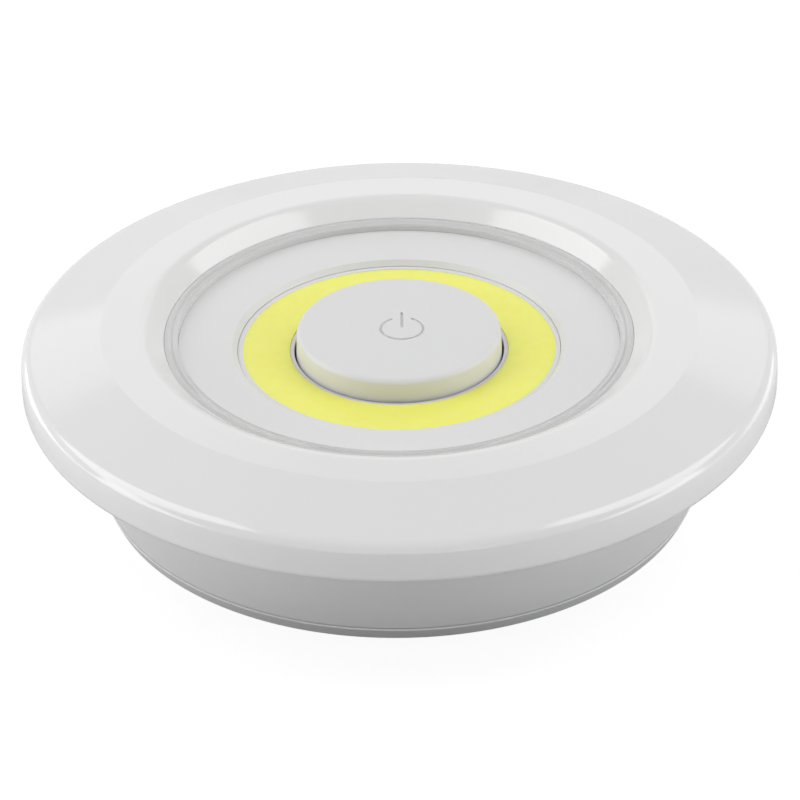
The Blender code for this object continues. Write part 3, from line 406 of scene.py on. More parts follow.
def from_shape(name: str, shape: bmesh.types.BMesh) -> Piece:
    """Turn a bmesh into an object in the scene.

    Args:
        name: Name of the object.
        shape: The bmesh, which is freed.

    Returns:
        The new object.
    """
    mesh = bpy.data.meshes.new(name)
    shape.to_mesh(mesh)
    shape.free()
    return linked(name, mesh)


def bridge(shape: bmesh.types.BMesh, low: list[bmesh.types.BMVert],
           high: list[bmesh.types.BMVert]) -> None:
    """Close the band between two rings with the same number of points.

    Args:
        shape: The bmesh that holds both rings.
        low: The first ring.
        high: The second ring.
    """
    for index in range(len(low)):
        after = (index + 1) % len(low)
        shape.faces.new((low[index], low[after], high[after], high[index]))


def arc(centre: Pair, radius: float, start: float, sweep: float, steps: int) -> list[Pair]:
    """Points along an arc, with both its ends.

    Args:
        centre: The arc's centre.
        radius: Its radius.
        start: The angle of its first point.
        sweep: The angle that it covers.
        steps: The number of steps along it.

    Returns:
        The points.
    """
    angles = [start + sweep * step / steps for step in range(steps + 1)]
    return [(centre[0] + radius * math.cos(angle), centre[1] + radius * math.sin(angle))
            for angle in angles]


def stroke(across: float, ends: Pair, half: float, steps: int) -> list[Pair]:
    """Outline of a straight stroke along Y with round ends.

    Args:
        across: The stroke's place on X.
        ends: The centres of its round ends on Y, the upper one first.
        half: Half of its width.
        steps: The number of steps round each end.

    Returns:
        The outline's points.
    """
    return [spot for end, start in zip(ends, (0.0, math.pi))
            for spot in arc((across, end), half, start, math.pi, steps)]


class Recipe:
    """One Geometry Nodes tree with named inputs, which makes plain meshes."""

    kinds = {int: "Int", float: "Float", Vector: "Vector", Piece: "Object",
             bpy.types.Material: "Material"}

    def __init__(self, name: str, **inputs: type) -> None:
        """Open a tree.

        Args:
            name: The tree's name.
            **inputs: The inputs' names and their types.
        """
        self.tree = bpy.data.node_groups.new(name, "GeometryNodeTree")
        face = self.tree.interface
        face.new_socket("Geometry", in_out="OUTPUT", socket_type="NodeSocketGeometry")
        self.keys = {}
        for label, kind in {**inputs, "finish": bpy.types.Material}.items():
            entry = face.new_socket(label, in_out="INPUT",
                                    socket_type=f"NodeSocket{self.kinds[kind]}")
            self.keys[label] = entry.identifier
        self.graph = NodeGraph(self.tree)
        self.entry = self.tree.nodes.new("NodeGroupInput")

    def given(self, label: str) -> Source:
        """Socket of a named input."""
        return self.entry.outputs[label]

    def close(self, geometry: Source) -> "Recipe":
        """End the tree in real geometry with its material.

        Args:
            geometry: What the tree has made.

        Returns:
            The recipe, ready for use.
        """
        real = self.graph.add("GeometryNodeRealizeInstances", {0: geometry})
        dressed = self.graph.add("GeometryNodeSetMaterial", {
            "Geometry": real.outputs[0], "Material": self.given("finish")})
        self.graph.add("NodeGroupOutput", {0: dressed.outputs[0]})
        return self

    def copies(self, points: Source, turn: Source | Triple = (0.0, 0.0, 0.0)) -> "Recipe":
        """End the tree in copies of its part.

        Args:
            points: The points that they stand on.
            turn: How each is turned.

        Returns:
            The recipe, ready for use.
        """
        part = self.graph.add("GeometryNodeObjectInfo", {"Object": self.given("part")})
        row = self.graph.add("GeometryNodeInstanceOnPoints", {
            "Points": points, "Instance": part.outputs["Geometry"], "Rotation": turn})
        return self.close(row.outputs[0])

    def make(self, name: str, finish: Finish, **values: object) -> Piece:
        """Run the tree once and keep the result as a plain mesh.

        Args:
            name: Name of the new piece.
            finish: The finish it is dressed in.
            **values: Values of the named inputs.

        Returns:
            A mesh object at the origin.
        """
        holder = linked(name, bpy.data.meshes.new(name))
        modifier = holder.modifiers.new("recipe", "NODES")
        modifier.node_group = self.tree
        for label, value in {**values, "finish": finish.material()}.items():
            modifier[self.keys[label]] = value
        return settled(holder)


def turning_recipe() -> Recipe:
    """Tree that turns a section round the light's axis.

    Returns:
        The recipe, with the section's object and the number of segments as inputs.
    """
    recipe = Recipe("turned form", section=Piece, segments=int)
    graph, segments = recipe.graph, recipe.given("segments")
    section = graph.add("GeometryNodeObjectInfo", {"Object": recipe.given("section")})
    line = graph.add("GeometryNodeMeshToCurve", {"Mesh": section.outputs["Geometry"]})
    circle = graph.add("GeometryNodeCurvePrimitiveCircle", {"Resolution": segments, "Radius": 1.0})
    share = graph.maths("DIVIDE", graph.add("GeometryNodeInputIndex").outputs[0], segments)
    kept = []
    for curve, kind, value in (
            (line.outputs[0], "VECTOR", graph.add("GeometryNodeInputPosition").outputs[0]),
            (circle.outputs["Curve"], "FLOAT", graph.maths("MULTIPLY", share, math.tau))):
        held = graph.add("GeometryNodeCaptureAttribute", {"Geometry": curve})
        held.capture_items.new(kind, "Kept")
        graph.feed(held.inputs["Kept"], value)
        kept.append((held.outputs["Geometry"], held.outputs["Kept"]))
    (profile, spot), (rail, angle) = kept
    skin = graph.add("GeometryNodeCurveToMesh", {"Curve": rail, "Profile Curve": profile})
    parts = graph.add("ShaderNodeSeparateXYZ", {0: spot}).outputs
    moved = graph.add("GeometryNodeSetPosition", {
        "Geometry": skin.outputs["Mesh"], "Position": graph.polar(parts["X"], angle, parts["Z"])})
    merged = graph.add("GeometryNodeMergeByDistance", {
        "Geometry": moved.outputs[0], "Distance": MERGE_DISTANCE})
    return recipe.close(merged.outputs[0])


def ring_row_recipe() -> Recipe:
    """Tree that stands copies of a part in a circle about the light's axis.

    Returns:
        The recipe, with the count, place and tilt of the copies as inputs.
    """
    recipe = Recipe("ring of parts", part=Piece, count=int, radius=float, height=float, tilt=float,
                    first_angle=float)
    graph, given = recipe.graph, recipe.given
    share = graph.maths("DIVIDE", graph.add("GeometryNodeInputIndex").outputs[0], given("count"))
    angle = graph.maths("ADD", graph.maths("MULTIPLY", share, math.tau), given("first_angle"))
    points = graph.add("GeometryNodePoints", {
        "Count": given("count"), "Position": graph.polar(given("radius"), angle, given("height"))})
    turn = graph.add("ShaderNodeCombineXYZ", {1: given("tilt"), 2: angle})
    return recipe.copies(points.outputs[0], turn.outputs[0])


def straight_row_recipe() -> Recipe:
    """Tree that stands copies of a part in a straight row.

    Returns:
        The recipe, with the count, the first place and the step as inputs.
    """
    recipe = Recipe("row of parts", part=Piece, count=int, first=Vector, step=Vector)
    line = recipe.graph.add("GeometryNodeMeshLine", {
        "Count": recipe.given("count"), "Start Location": recipe.given("first"),
        "Offset": recipe.given("step")})
    return recipe.copies(line.outputs[0])


def coil_recipe() -> Recipe:
    """Tree that winds a wire into a spring with closed end turns.

    Returns:
        The recipe, with the turns, radii, length and wire as inputs.
    """
    samples, sides, closed_pitch, open_span = 120, 12, 2.1, (0.12, 0.88)
    recipe = Recipe("wound spring", turns=float, foot_radius=float, tip_radius=float,
                    length=float, wire_radius=float)
    graph, given, maths = recipe.graph, recipe.given, recipe.graph.maths
    line = graph.add("GeometryNodeCurvePrimitiveLine")
    fine = graph.add("GeometryNodeResampleCurve", {"Curve": line.outputs[0], "Count": samples})
    share = graph.add("GeometryNodeSplineParameter").outputs["Factor"]
    angle = maths("MULTIPLY", maths("MULTIPLY", share, given("turns")), math.tau)
    widening = maths("SUBTRACT", given("tip_radius"), given("foot_radius"))
    radius = maths("ADD", given("foot_radius"), maths("MULTIPLY", widening, share))
    closed = maths("MULTIPLY", maths("MULTIPLY", given("wire_radius"), closed_pitch),
                   given("turns"))
    spare = maths("SUBTRACT", given("length"), closed)
    rise = maths("MULTIPLY", spare, graph.ranged(share, open_span, smooth=True))
    height = maths("ADD", maths("MULTIPLY", closed, share), rise)
    wound = graph.add("GeometryNodeSetPosition", {
        "Geometry": fine.outputs[0], "Position": graph.polar(radius, angle, height)})
    wire = graph.add("GeometryNodeCurvePrimitiveCircle", {
        "Radius": given("wire_radius"), "Resolution": sides})
    skin = graph.add("GeometryNodeCurveToMesh", {
        "Curve": wound.outputs[0], "Profile Curve": wire.outputs["Curve"], "Fill Caps": True})
    return recipe.close(skin.outputs[0])


@dataclass
class Section:
    """Outline of a turned piece, drawn from corner to corner."""

    closed: bool = True
    corners: list[Corner] = field(default_factory=list)
    long_run: float = 0.6
    support: float = 0.12
    arc_step: float = math.radians(9)

    def to(self, *corners: Corner) -> "Section":
        """Add corners, sharp where no rounding is given."""
        self.corners += [(*corner, 0.0)[:3] for corner in corners]
        return self

    def rounded(self, index: int) -> list[Pair]:
        """Points that stand for one corner.

        Args:
            index: The corner's number.

        Returns:
            One point for a sharp corner, or an arc.
        """
        radius, height, edge = self.corners[index]
        if not edge:
            return [(radius, height)]
        point = Vector((radius, height))
        back, ahead = [(Vector(self.corners[other % len(self.corners)][:2]) - point).normalized()
                       for other in (index - 1, index + 1)]
        half = back.angle(ahead) / 2
        centre = point + (back + ahead).normalized() * (edge / math.sin(half))
        start, end = [point + way * (edge / math.tan(half)) - centre for way in (back, ahead)]
        sweep = start.angle_signed(end)
        steps = max(2, math.ceil(abs(sweep) / self.arc_step))
        return [tuple(centre + Matrix.Rotation(-sweep * step / steps, 2) @ start)
                for step in range(steps + 1)]

    def points(self) -> list[Pair]:
        """All points, with support points near the ends of long straights.

        Returns:
            Radius and height pairs.
        """
        bare = [spot for index in range(len(self.corners)) for spot in self.rounded(index)]
        full = []
        for index, (here, there) in enumerate(zip(bare, bare[1:] + bare[:1])):
            full.append(here)
            run = Vector(there) - Vector(here)
            last = not self.closed and index == len(bare) - 1
            if run.length > self.long_run and not last:
                step = run.normalized() * self.support
                full += [tuple(Vector(here) + step), tuple(Vector(there) - step)]
        return full


class Workshop:
    """Recipes and hand work that every sub-assembly shares."""

    fine = 256
    small = 64
    rod_sides = 48
    bore_sides = 32
    edge_steps = 3
    edge_profile = 0.5

    def __init__(self) -> None:
        """Build the shared trees."""
        self.turning = turning_recipe()
        self.ring_row = ring_row_recipe()
        self.straight_row = straight_row_recipe()
        self.coil = coil_recipe()

    def turned(self, name: str, finish: Finish, section: Section, segments: int = fine) -> Piece:
        """Turn a section into a closed piece.

        Args:
            name: Name of the piece.
            finish: Its finish.
            section: The outline that is turned.
            segments: Number of segments round the axis.

        Returns:
            The piece.
        """
        mesh = bpy.data.meshes.new(f"{name} section")
        points = section.points()
        edges = [(index, index + 1) for index in range(len(points) - 1)]
        if section.closed:
            edges.append((len(points) - 1, 0))
        mesh.from_pydata([(radius * MM, 0.0, height * MM) for radius, height in points], edges, [])
        line = linked(f"{name} section", mesh)
        piece = self.turning.make(name, finish, section=line, segments=segments)
        bpy.data.objects.remove(line, do_unlink=True)
        return tidied(piece)

    def wound(self, name: str, turns: float, **sizes: float) -> Piece:
        """Wind a nickel spring that stands on the origin.

        Args:
            name: Name of the spring.
            turns: Number of its turns.
            **sizes: The recipe's lengths in millimetres.

        Returns:
            The spring.
        """
        lengths = {label: size * MM for label, size in sizes.items()}
        return tidied(self.coil.make(name, NICKEL, turns=turns, **lengths))

    def repeated(self, recipe: Recipe, name: str, finish: Finish, part: Piece,
                 **values: object) -> Piece:
        """Repeat a part by a recipe, and use the part up.

        Args:
            recipe: The row's recipe.
            name: Name of the row.
            finish: Its finish.
            part: The part that is copied.
            **values: Values of the recipe's other inputs.

        Returns:
            The row as one piece.
        """
        row = recipe.make(name, finish, part=part, **values)
        bpy.data.objects.remove(part, do_unlink=True)
        return tidied(row)

    def block(self, name: str, size: Triple, centre: Triple, turn: float = 0.0,
              edge: float = 0.0) -> Piece:
        """Box about a centre, turned about the light's axis and with softened edges.

        Args:
            name: Name of the object.
            size: Its three sizes.
            centre: Its centre.
            turn: The angle that it is turned by.
            edge: How far its edges are rounded.

        Returns:
            The box.
        """
        shape = bmesh.new()
        seat = Matrix.Rotation(turn, 4, "Z") @ Matrix.Translation(Vector(centre) * MM)
        bmesh.ops.create_cube(shape, size=MM, matrix=seat @ Matrix.Diagonal((*size, 1.0)))
        if edge:
            bmesh.ops.bevel(shape, geom=shape.edges, offset=edge * MM, affect="EDGES",
                            segments=self.edge_steps, profile=self.edge_profile)
        return from_shape(name, shape)

    def blocks(self, forms: tuple[Block, ...], turns: tuple[float, ...],
               edge: float = 0.0) -> list[Piece]:
        """Copies of boxes at several turns about the light's axis.

        Args:
            forms: Size and centre of each box.
            turns: The angles that every box is turned by.
            edge: How far the edges are rounded.

        Returns:
            The boxes.
        """
        return [self.block("block", size, centre, turn, edge)
                for turn in turns for size, centre in forms]

    def rod(self, name: str, radius: float, low: float, high: float, place: Pair,
            segments: int = rod_sides) -> Piece:
        """Upright round bar between two heights.

        Args:
            name: Name of the object.
            radius: Its radius.
            low: Height of its foot.
            high: Height of its top.
            place: Where its axis stands.
            segments: Number of its sides.

        Returns:
            The bar.
        """
        shape = bmesh.new()
        seat = Matrix.Translation(Vector((*place, (low + high) / 2)) * MM)
        bmesh.ops.create_cone(shape, cap_ends=True, segments=segments, radius1=radius * MM,
                              radius2=radius * MM, depth=(high - low) * MM, matrix=seat)
        return from_shape(name, shape)

    def rods(self, radius: float, low: float, high: float, circle: float,
             segments: int = rod_sides) -> list[Piece]:
        """Three upright round bars on a circle, the first behind the light's axis.

        Args:
            radius: Their radius.
            low: Height of their feet.
            high: Height of their tops.
            circle: Radius of the circle that they stand on.
            segments: Number of their sides.

        Returns:
            The bars.
        """
        places = arc(AXIS, circle, SCREW_START, SCREW_SWEEP, 2)
        return [self.rod("rod", radius, low, high, place, segments) for place in places]

    def stacked(self, name: str, layers: list[tuple[float, list[Pair]]]) -> Piece:
        """Closed form through outlines with the same number of points.

        Args:
            name: Name of the object.
            layers: Height and outline of each layer, from end to end.

        Returns:
            The form.
        """
        shape = bmesh.new()
        rings = [[shape.verts.new(Vector((*spot, height)) * MM) for spot in outline]
                 for height, outline in layers]
        for low, high in zip(rings, rings[1:]):
            bridge(shape, low, high)
        shape.faces.new(rings[0][::-1])
        shape.faces.new(rings[-1])
        bmesh.ops.recalc_face_normals(shape, faces=shape.faces)
        return from_shape(name, shape)

    def worked(self, piece: Piece, additions: list[Piece], cutters: list[Piece]) -> Piece:
        """Join forms to a piece, then cut others from it.

        Args:
            piece: The piece to work on.
            additions: Forms that become part of it.
            cutters: Forms that are taken out of it.

        Returns:
            The piece.
        """
        for operation, tools in (("UNION", additions), ("DIFFERENCE", cutters)):
            for tool in tools:
                step = piece.modifiers.new(tool.name, "BOOLEAN")
                step.operation = operation
                step.solver = "EXACT"
                step.object = tool
        settled(piece)
        for tool in additions + cutters:
            bpy.data.objects.remove(tool, do_unlink=True)
        return tidied(piece, recalculate=False)

    def tube(self, name: str, finish: Finish, route: Line, radius: float,
             flip: tuple[int, int] = (1, 1)) -> Piece:
        """Round lead along a route of knots, with closed ends.

        Args:
            name: Name of the piece.
            finish: Its finish.
            route: The knots.
            radius: The lead's radius.
            flip: Signs that X and Y of every knot are multiplied by.

        Returns:
            The lead as a mesh.
        """
        curve = bpy.data.curves.new(name, "CURVE")
        curve.dimensions = "3D"
        curve.bevel_depth = radius * MM
        curve.bevel_resolution = 4
        curve.use_fill_caps = True
        spline = curve.splines.new("NURBS")
        spline.points.add(len(route) - 1)
        for knot, (across, along, height) in zip(spline.points, route):
            knot.co = (*(Vector((flip[0] * across, flip[1] * along, height)) * MM), 1.0)
        spline.use_endpoint_u = True
        spline.order_u = 3
        spline.resolution_u = 8
        holder = linked(name, curve)
        bpy.context.view_layer.update()
        shown = holder.evaluated_get(bpy.context.evaluated_depsgraph_get())
        mesh = bpy.data.meshes.new_from_object(shown)
        bpy.data.objects.remove(holder, do_unlink=True)
        mesh.materials.clear()
        mesh.materials.append(finish.material())
        return tidied(linked(name, mesh))


class Bench:
    """Puts finished pieces on the frame and reports them."""

    def __init__(self, nodes: dict[str, Piece]) -> None:
        """Start with the frame's nodes and no finished piece.

        Args:
            nodes: The frame's nodes by name.
        """
        self.nodes = nodes
        self.count = 0

    def seat(self, piece: Piece, finish: Finish, *nodes: str, body: Body = Body.HOUSING) -> None:
        """Dress a piece, let it ride on its body and stand for its nodes.

        Args:
            piece: The finished piece.
            finish: Its finish.
            *nodes: Nodes of the frame that it replaces.
            body: The body that it moves with.
        """
        if finish.material().name not in piece.data.materials:
            piece.data.materials.clear()
            piece.data.materials.append(finish.material())
        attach(piece, body.value)
        self.enter(piece, finish, nodes, f"on {body.value}")

    def flex(self, piece: Piece, finish: Finish, low: float, high: float, node: str) -> None:
        """Seat a piece between the housing and the button, with its place baked into its mesh.

        Args:
            piece: The finished piece.
            finish: Its finish.
            low: The height up to which it would stay on the housing; not used.
            high: The height from which it would move with the button; not used.
            node: The node of the frame that it replaces.
        """
        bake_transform(piece)
        self.enter(piece, finish, (node,), "between housing and button")

    def enter(self, piece: Piece, finish: Finish, nodes: tuple[str, ...], place: str) -> None:
        """Hide the nodes that a seated piece stands for, count it and report it.

        Args:
            piece: The piece.
            finish: Its finish.
            nodes: Nodes of the frame that it replaces.
            place: Where it sits, in words.
        """
        if nodes:
            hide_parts(*nodes)
        self.count += 1
        LOG.info("%s: %d faces, %s, %s%s", piece.name, len(piece.data.polygons), finish.name,
                 place, f", for {', '.join(nodes)}" if nodes else "")

    def keep(self, finish: Finish, *nodes: str) -> None:
        """Give a finish to nodes of the frame that stay as they are.

        Args:
            finish: The finish.
            *nodes: The nodes' names.
        """
        for name in nodes:
            for slot in self.nodes[name].material_slots:
                slot.material = finish.material()
            LOG.info("%s: kept, %s", name, finish.name)


@dataclass
class Assembly:
    """One sub-assembly, made in the workshop and seated on the bench."""

    shop: Workshop
    bench: Bench

    def build(self) -> None:
        """Make the pieces and seat them."""
        raise NotImplementedError


@dataclass
class Bezel(Assembly):
    """Glossy domed flange with a conical mouth, a sloped edge and a rolled rim."""

    hole: Corner = (38.8, 27.6, 0.3)
    shoulder: Corner = (42.2, 30.04, 2.8)
    crease: Corner = (49.2, 29.72, 0.8)
    roll: Corner = (61.45, 26.10, 2.6)
    lip: Corner = (62.36, 24.96, 0.9)
    rim_radius: float = 62.5
    rim_drop: float = 2.6
    rim_steps: int = 9
    rim_foot: Line = ((62.5, 19.2, 1.3), (60.7, 19.2, 0.35))
    underside: Line = ((60.7, 24.42, 0.95), (50.55, 27.42, 0.2), (47.55, 27.42, 0.3))
    skirt: Line = ((47.55, 24.12, 0.3), (46.35, 24.12, 0.3), (46.35, 27.42, 0.3))
    inner_lip: Line = ((43.2, 27.42, 0.3), (41.5, 26.25, 0.15), (38.8, 26.25, 0.15))
    boss_circle: float = 43.8
    boss_radius: float = 3.0
    boss_foot: float = 16.2
    boss_top: float = 28.5
    bore_radius: float = 1.55
    bore_top: float = 23.0
    wall: float = 1.9
    mark_count: int = 12
    mark_circle: float = 55.6
    mark_start: float = math.radians(15)
    mark_segments: int = 40
    mark: Line = ((0.0, 0.04), (1.9, 0.04), (2.0, -0.03, 0.02), (1.75, -0.06, 0.02), (0.0, -0.06))

    def section(self) -> Section:
        """Section through the flange.

        Returns:
            The closed outline.
        """
        line = Section().to(self.hole, self.shoulder, self.crease, self.roll, self.lip)
        radius, height, _ = self.lip
        for step in range(3, self.rim_steps):
            share = step / self.rim_steps
            line.to((radius + (self.rim_radius - radius) * (1 - (1 - share) ** 2),
                     height - self.rim_drop * share))
        return line.to(*self.rim_foot, *self.underside, *self.skirt, *self.inner_lip)

    def build(self) -> None:
        """Make the flange with its screw bosses, and the pin marks under it."""
        flange = self.shop.turned("bezel_flange", GLOSS_WHITE, self.section())
        bosses = self.shop.rods(self.boss_radius, self.boss_foot, self.boss_top, self.boss_circle)
        bores = self.shop.rods(self.bore_radius, self.boss_foot - 1, self.bore_top,
                               self.boss_circle, self.shop.bore_sides)
        self.shop.worked(flange, bosses, bores)
        self.bench.seat(flange, GLOSS_WHITE, "bezel")
        slope = math.atan2(self.crease[1] - self.roll[1], self.roll[0] - self.crease[0])
        fall = (self.mark_circle - self.crease[0]) * math.tan(slope)
        dot = self.shop.turned("pin mark", GLOSS_WHITE, Section(closed=False).to(*self.mark),
                               self.mark_segments)
        marks = self.shop.repeated(
            self.shop.ring_row, "bezel_pin_marks", GLOSS_WHITE, dot, count=self.mark_count,
            radius=self.mark_circle * MM, height=(self.crease[1] - fall - self.wall) * MM,
            tilt=slope, first_angle=self.mark_start)
        self.bench.seat(marks, GLOSS_WHITE)


@dataclass
class ClearRing(Assembly):
    """Clear ring between flange and dish, with fine ridges round its top."""

    inner: float = 36.45
    outer: float = 38.76
    top: float = 27.35
    ridges: int = 2
    first_ridge: float = 0.35
    pitch: float = 0.84
    crest: float = 0.6
    rise: float = 0.23
    ridge_rounds: Pair = (0.04, 0.09)
    edge_rounds: Pair = (0.05, 0.03)
    foot: Line = ((38.76, 25.95, 0.1), (40.5, 25.95, 0.15), (40.5, 24.6, 0.15),
                  (36.45, 24.6, 0.15))
    gate: Block = ((0.9, 0.5, 0.30), (0.0, 38.36, 27.48))
    gate_edge: float = 0.06

    def section(self) -> Section:
        """Section with its ridged top, made by rule from the number of ridges.

        Returns:
            The closed outline.
        """
        edge_height = self.top + self.rise / 2
        line = Section().to((self.inner, edge_height, self.edge_rounds[0]))
        for ridge in range(self.ridges):
            valley = self.inner + self.first_ridge + self.pitch * ridge
            line.to((valley, self.top, self.ridge_rounds[0]),
                    (valley + self.pitch * self.crest, self.top + self.rise,
                     self.ridge_rounds[1]))
        return line.to((self.outer, edge_height, self.edge_rounds[1]), *self.foot)

    def build(self) -> None:
        """Make the ring and its two gate marks."""
        ring = self.shop.turned("clear_ring", CLEAR, self.section())
        gates = self.shop.blocks((self.gate,), HALVES, self.gate_edge)
        self.bench.seat(self.shop.worked(ring, gates, []), CLEAR, "lens_ring")


@dataclass
class Dish(Assembly):
    """Satin dish that rises from its conical opening to the clear ring."""

    opening: Corner = (26.75, 24.95, 0.06)
    edge: Corner = (27.65, 25.7, 0.18)
    rim: Corner = (36.43, 26.4, 0.04)
    curve_steps: int = 12
    underside: Line = ((36.43, 22.3, 0.2), (34.65, 22.3, 0.2), (34.65, 25.17, 0.3),
                       (28.5, 24.7, 0.2), (27.65, 24.15, 0.1), (26.75, 24.15, 0.1))

    def build(self) -> None:
        """Make the dish, which curves up ever more steeply to its rim."""
        line = Section().to(self.opening, self.edge)
        (start, low, _), (end, high, _) = self.edge, self.rim
        for step in range(1, self.curve_steps):
            share = step / self.curve_steps
            line.to((start + (end - start) * share, low + (high - low) * share ** 3))
        line.to(self.rim, *self.underside)
        # The dish wears the lighter satin copy, which is painted light.
        self.bench.seat(self.shop.turned("satin_dish", DISH_WHITE_PAINTED_LIGHT, line), DISH_WHITE_PAINTED_LIGHT,
                        "reflector_dish")


@dataclass
class GlowRing(Assembly):
    """Ring of light: the phosphor casting between its two dams, on a round board.

    Each dam is given with its finish, its inner and outer radius and its top.
    """

    foot: float = 23.8
    top_round: float = 0.15
    foot_round: float = 0.05
    casting: Line = ((18.06, 24.68, 0.05), (18.7, 24.7, 0.3), (25.35, 24.7, 0.3),
                     (25.89, 24.75, 0.02), (25.89, 23.8, 0.1), (18.06, 23.8, 0.1))
    dams: tuple[tuple[str, Finish, float, float, float], ...] = (
        # The inner dam wears the silicone copy with painted shade.
        ("inner_dam", SILICONE_PAINTED_SHADE, 17.34, 18.08, 24.58),
        ("outer_dam", SILICONE, 25.87, 26.72, 24.85))

    def build(self) -> None:
        """Make the casting and its dams, and dress the board and its carrier."""
        cast = self.shop.turned("phosphor_casting", PHOSPHOR, Section().to(*self.casting))
        self.bench.seat(cast, PHOSPHOR, "phosphor_ring")
        for name, finish, inner, outer, top in self.dams:
            bead = Section().to((inner, top, self.top_round), (outer, top, self.top_round),
                                (outer, self.foot, self.foot_round),
                                (inner, self.foot, self.foot_round))
            self.bench.seat(self.shop.turned(f"{name}_bead", finish, bead), finish, name)
        self.bench.keep(BOARD_MASK, "led_board")
        self.bench.keep(INNER_WHITE, "led_carrier")


@dataclass
class PushButton(Assembly):
    """Round satin cap with a sunk power mark, over the switch's plunger.

    The mark's groove is given as half of its width and its height from the cap's top.
    """

    top: float = 28.45
    outside: Line = ((0.0, 28.45), (6.5, 28.45), (16.85, 28.45, 0.85), (17.15, 20.2, 0.15),
                     (18.2, 20.2, 0.2), (18.2, 19.0, 0.2))
    inside: Line = ((15.55, 19.0, 0.2), (15.25, 26.85, 0.6), (2.4, 26.85, 0.4), (2.4, 22.95, 0.2),
                    (0.0, 22.95))
    stem_radius: float = 1.6
    stem_rounds: Pair = (0.25, 0.1)
    mark_centre: Pair = (0.5, 0.0)
    mark_radius: float = 3.5
    mark_gap: float = math.radians(29)
    ring_steps: int = 72
    end_steps: int = 10
    bar_steps: int = 12
    bar_ends: Pair = (5.0, 0.5)
    groove: Line = ((0.27, 0.25), (0.27, 0.0), (0.24, -0.05), (0.21, -0.30), (0.16, -0.34))

    def ring_outline(self, half: float) -> list[Pair]:
        """Outline of the mark's open ring, with round ends.

        Args:
            half: Half of the stroke's width.

        Returns:
            The outline's points.
        """
        start, sweep = math.pi / 2 + self.mark_gap, math.tau - 2 * self.mark_gap
        first, last = arc(self.mark_centre, self.mark_radius, start, sweep, 1)
        outside, inside = [
            arc(self.mark_centre, self.mark_radius + grow, begin, way, self.ring_steps)
            for grow, begin, way in ((half, start, sweep), (-half, start + sweep, -sweep))]
        ends = [arc(end, half, begin, math.pi, self.end_steps)[1:-1]
                for end, begin in ((last, start + sweep), (first, start + math.pi))]
        return outside + ends[0] + inside + ends[1]

    def bar_outline(self, half: float) -> list[Pair]:
        """Outline of the mark's bar, for half of its width."""
        return stroke(self.mark_centre[0], self.bar_ends, half, self.bar_steps)

    def build(self) -> None:
        """Make the cap, sink its mark, and make the plunger under it."""
        line = Section(closed=False).to(*self.outside, *self.inside)
        cap = self.shop.turned("button_top", SATIN_WHITE, line)
        grooves = [self.shop.stacked("groove", [(self.top + rise, outline(half))
                                                for half, rise in self.groove])
                   for outline in (self.ring_outline, self.bar_outline)]
        self.shop.worked(cap, [], grooves)
        self.bench.seat(cap, SATIN_WHITE, "button_cap", body=Body.BUTTON)
        low, high = [corner.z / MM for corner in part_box("switch_plunger")]
        tip_round, foot_round = self.stem_rounds
        stem = Section(closed=False).to((0.0, high), (self.stem_radius, high, tip_round),
                                        (self.stem_radius, low, foot_round), (0.0, low))
        plunger = self.shop.turned("plunger_stem", INNER_WHITE, stem, self.shop.small)
        self.bench.seat(plunger, INNER_WHITE, "switch_plunger", body=Body.BUTTON)


@dataclass(frozen=True)
class Screw:
    """Pan head screw with a thread and a cross slot, its head below the origin."""

    head_radius: float
    head_height: float
    shank_radius: float
    length: float
    thread_pitch: float = 0.5
    thread_root: float = 0.86
    thread_start: float = 1.6
    thread_margin: float = 2.2
    tip_share: float = 0.4
    neck: float = 0.25
    rounding: float = 0.1
    dome: float = 0.55
    slot_width: float = 0.5
    slot_reach: float = 1.15
    slot_spare: float = 0.5

    def form(self, shop: Workshop) -> Piece:
        """Turn the screw and sink its slot.

        Args:
            shop: The shared recipes.

        Returns:
            The screw, with its seat at the origin.
        """
        shank, head, length = self.shank_radius, self.head_radius, self.length
        rounding, dome = self.rounding, self.head_height * self.dome
        line = Section(closed=False).to((0.0, length), (shank * self.tip_share, length, rounding),
                                        (shank, length - shank, rounding))
        for turn in range(max(1, int((length - self.thread_margin) / self.thread_pitch))):
            height = length - self.thread_start - turn * self.thread_pitch
            line.to((shank, height), (shank * self.thread_root, height - self.thread_pitch / 2))
        line.to((shank, self.neck), (shank, 0.0), (head, 0.0, rounding),
                (head, -self.head_height, dome), (0.0, -self.head_height))
        depth = dome + self.slot_spare
        slot = ((head * self.slot_reach, self.slot_width, depth),
                (0.0, 0.0, depth / 2 - self.head_height - self.slot_spare))
        return shop.worked(shop.turned("screw", NICKEL, line, shop.small), [],
                           shop.blocks((slot,), (0.0, math.pi / 2)))


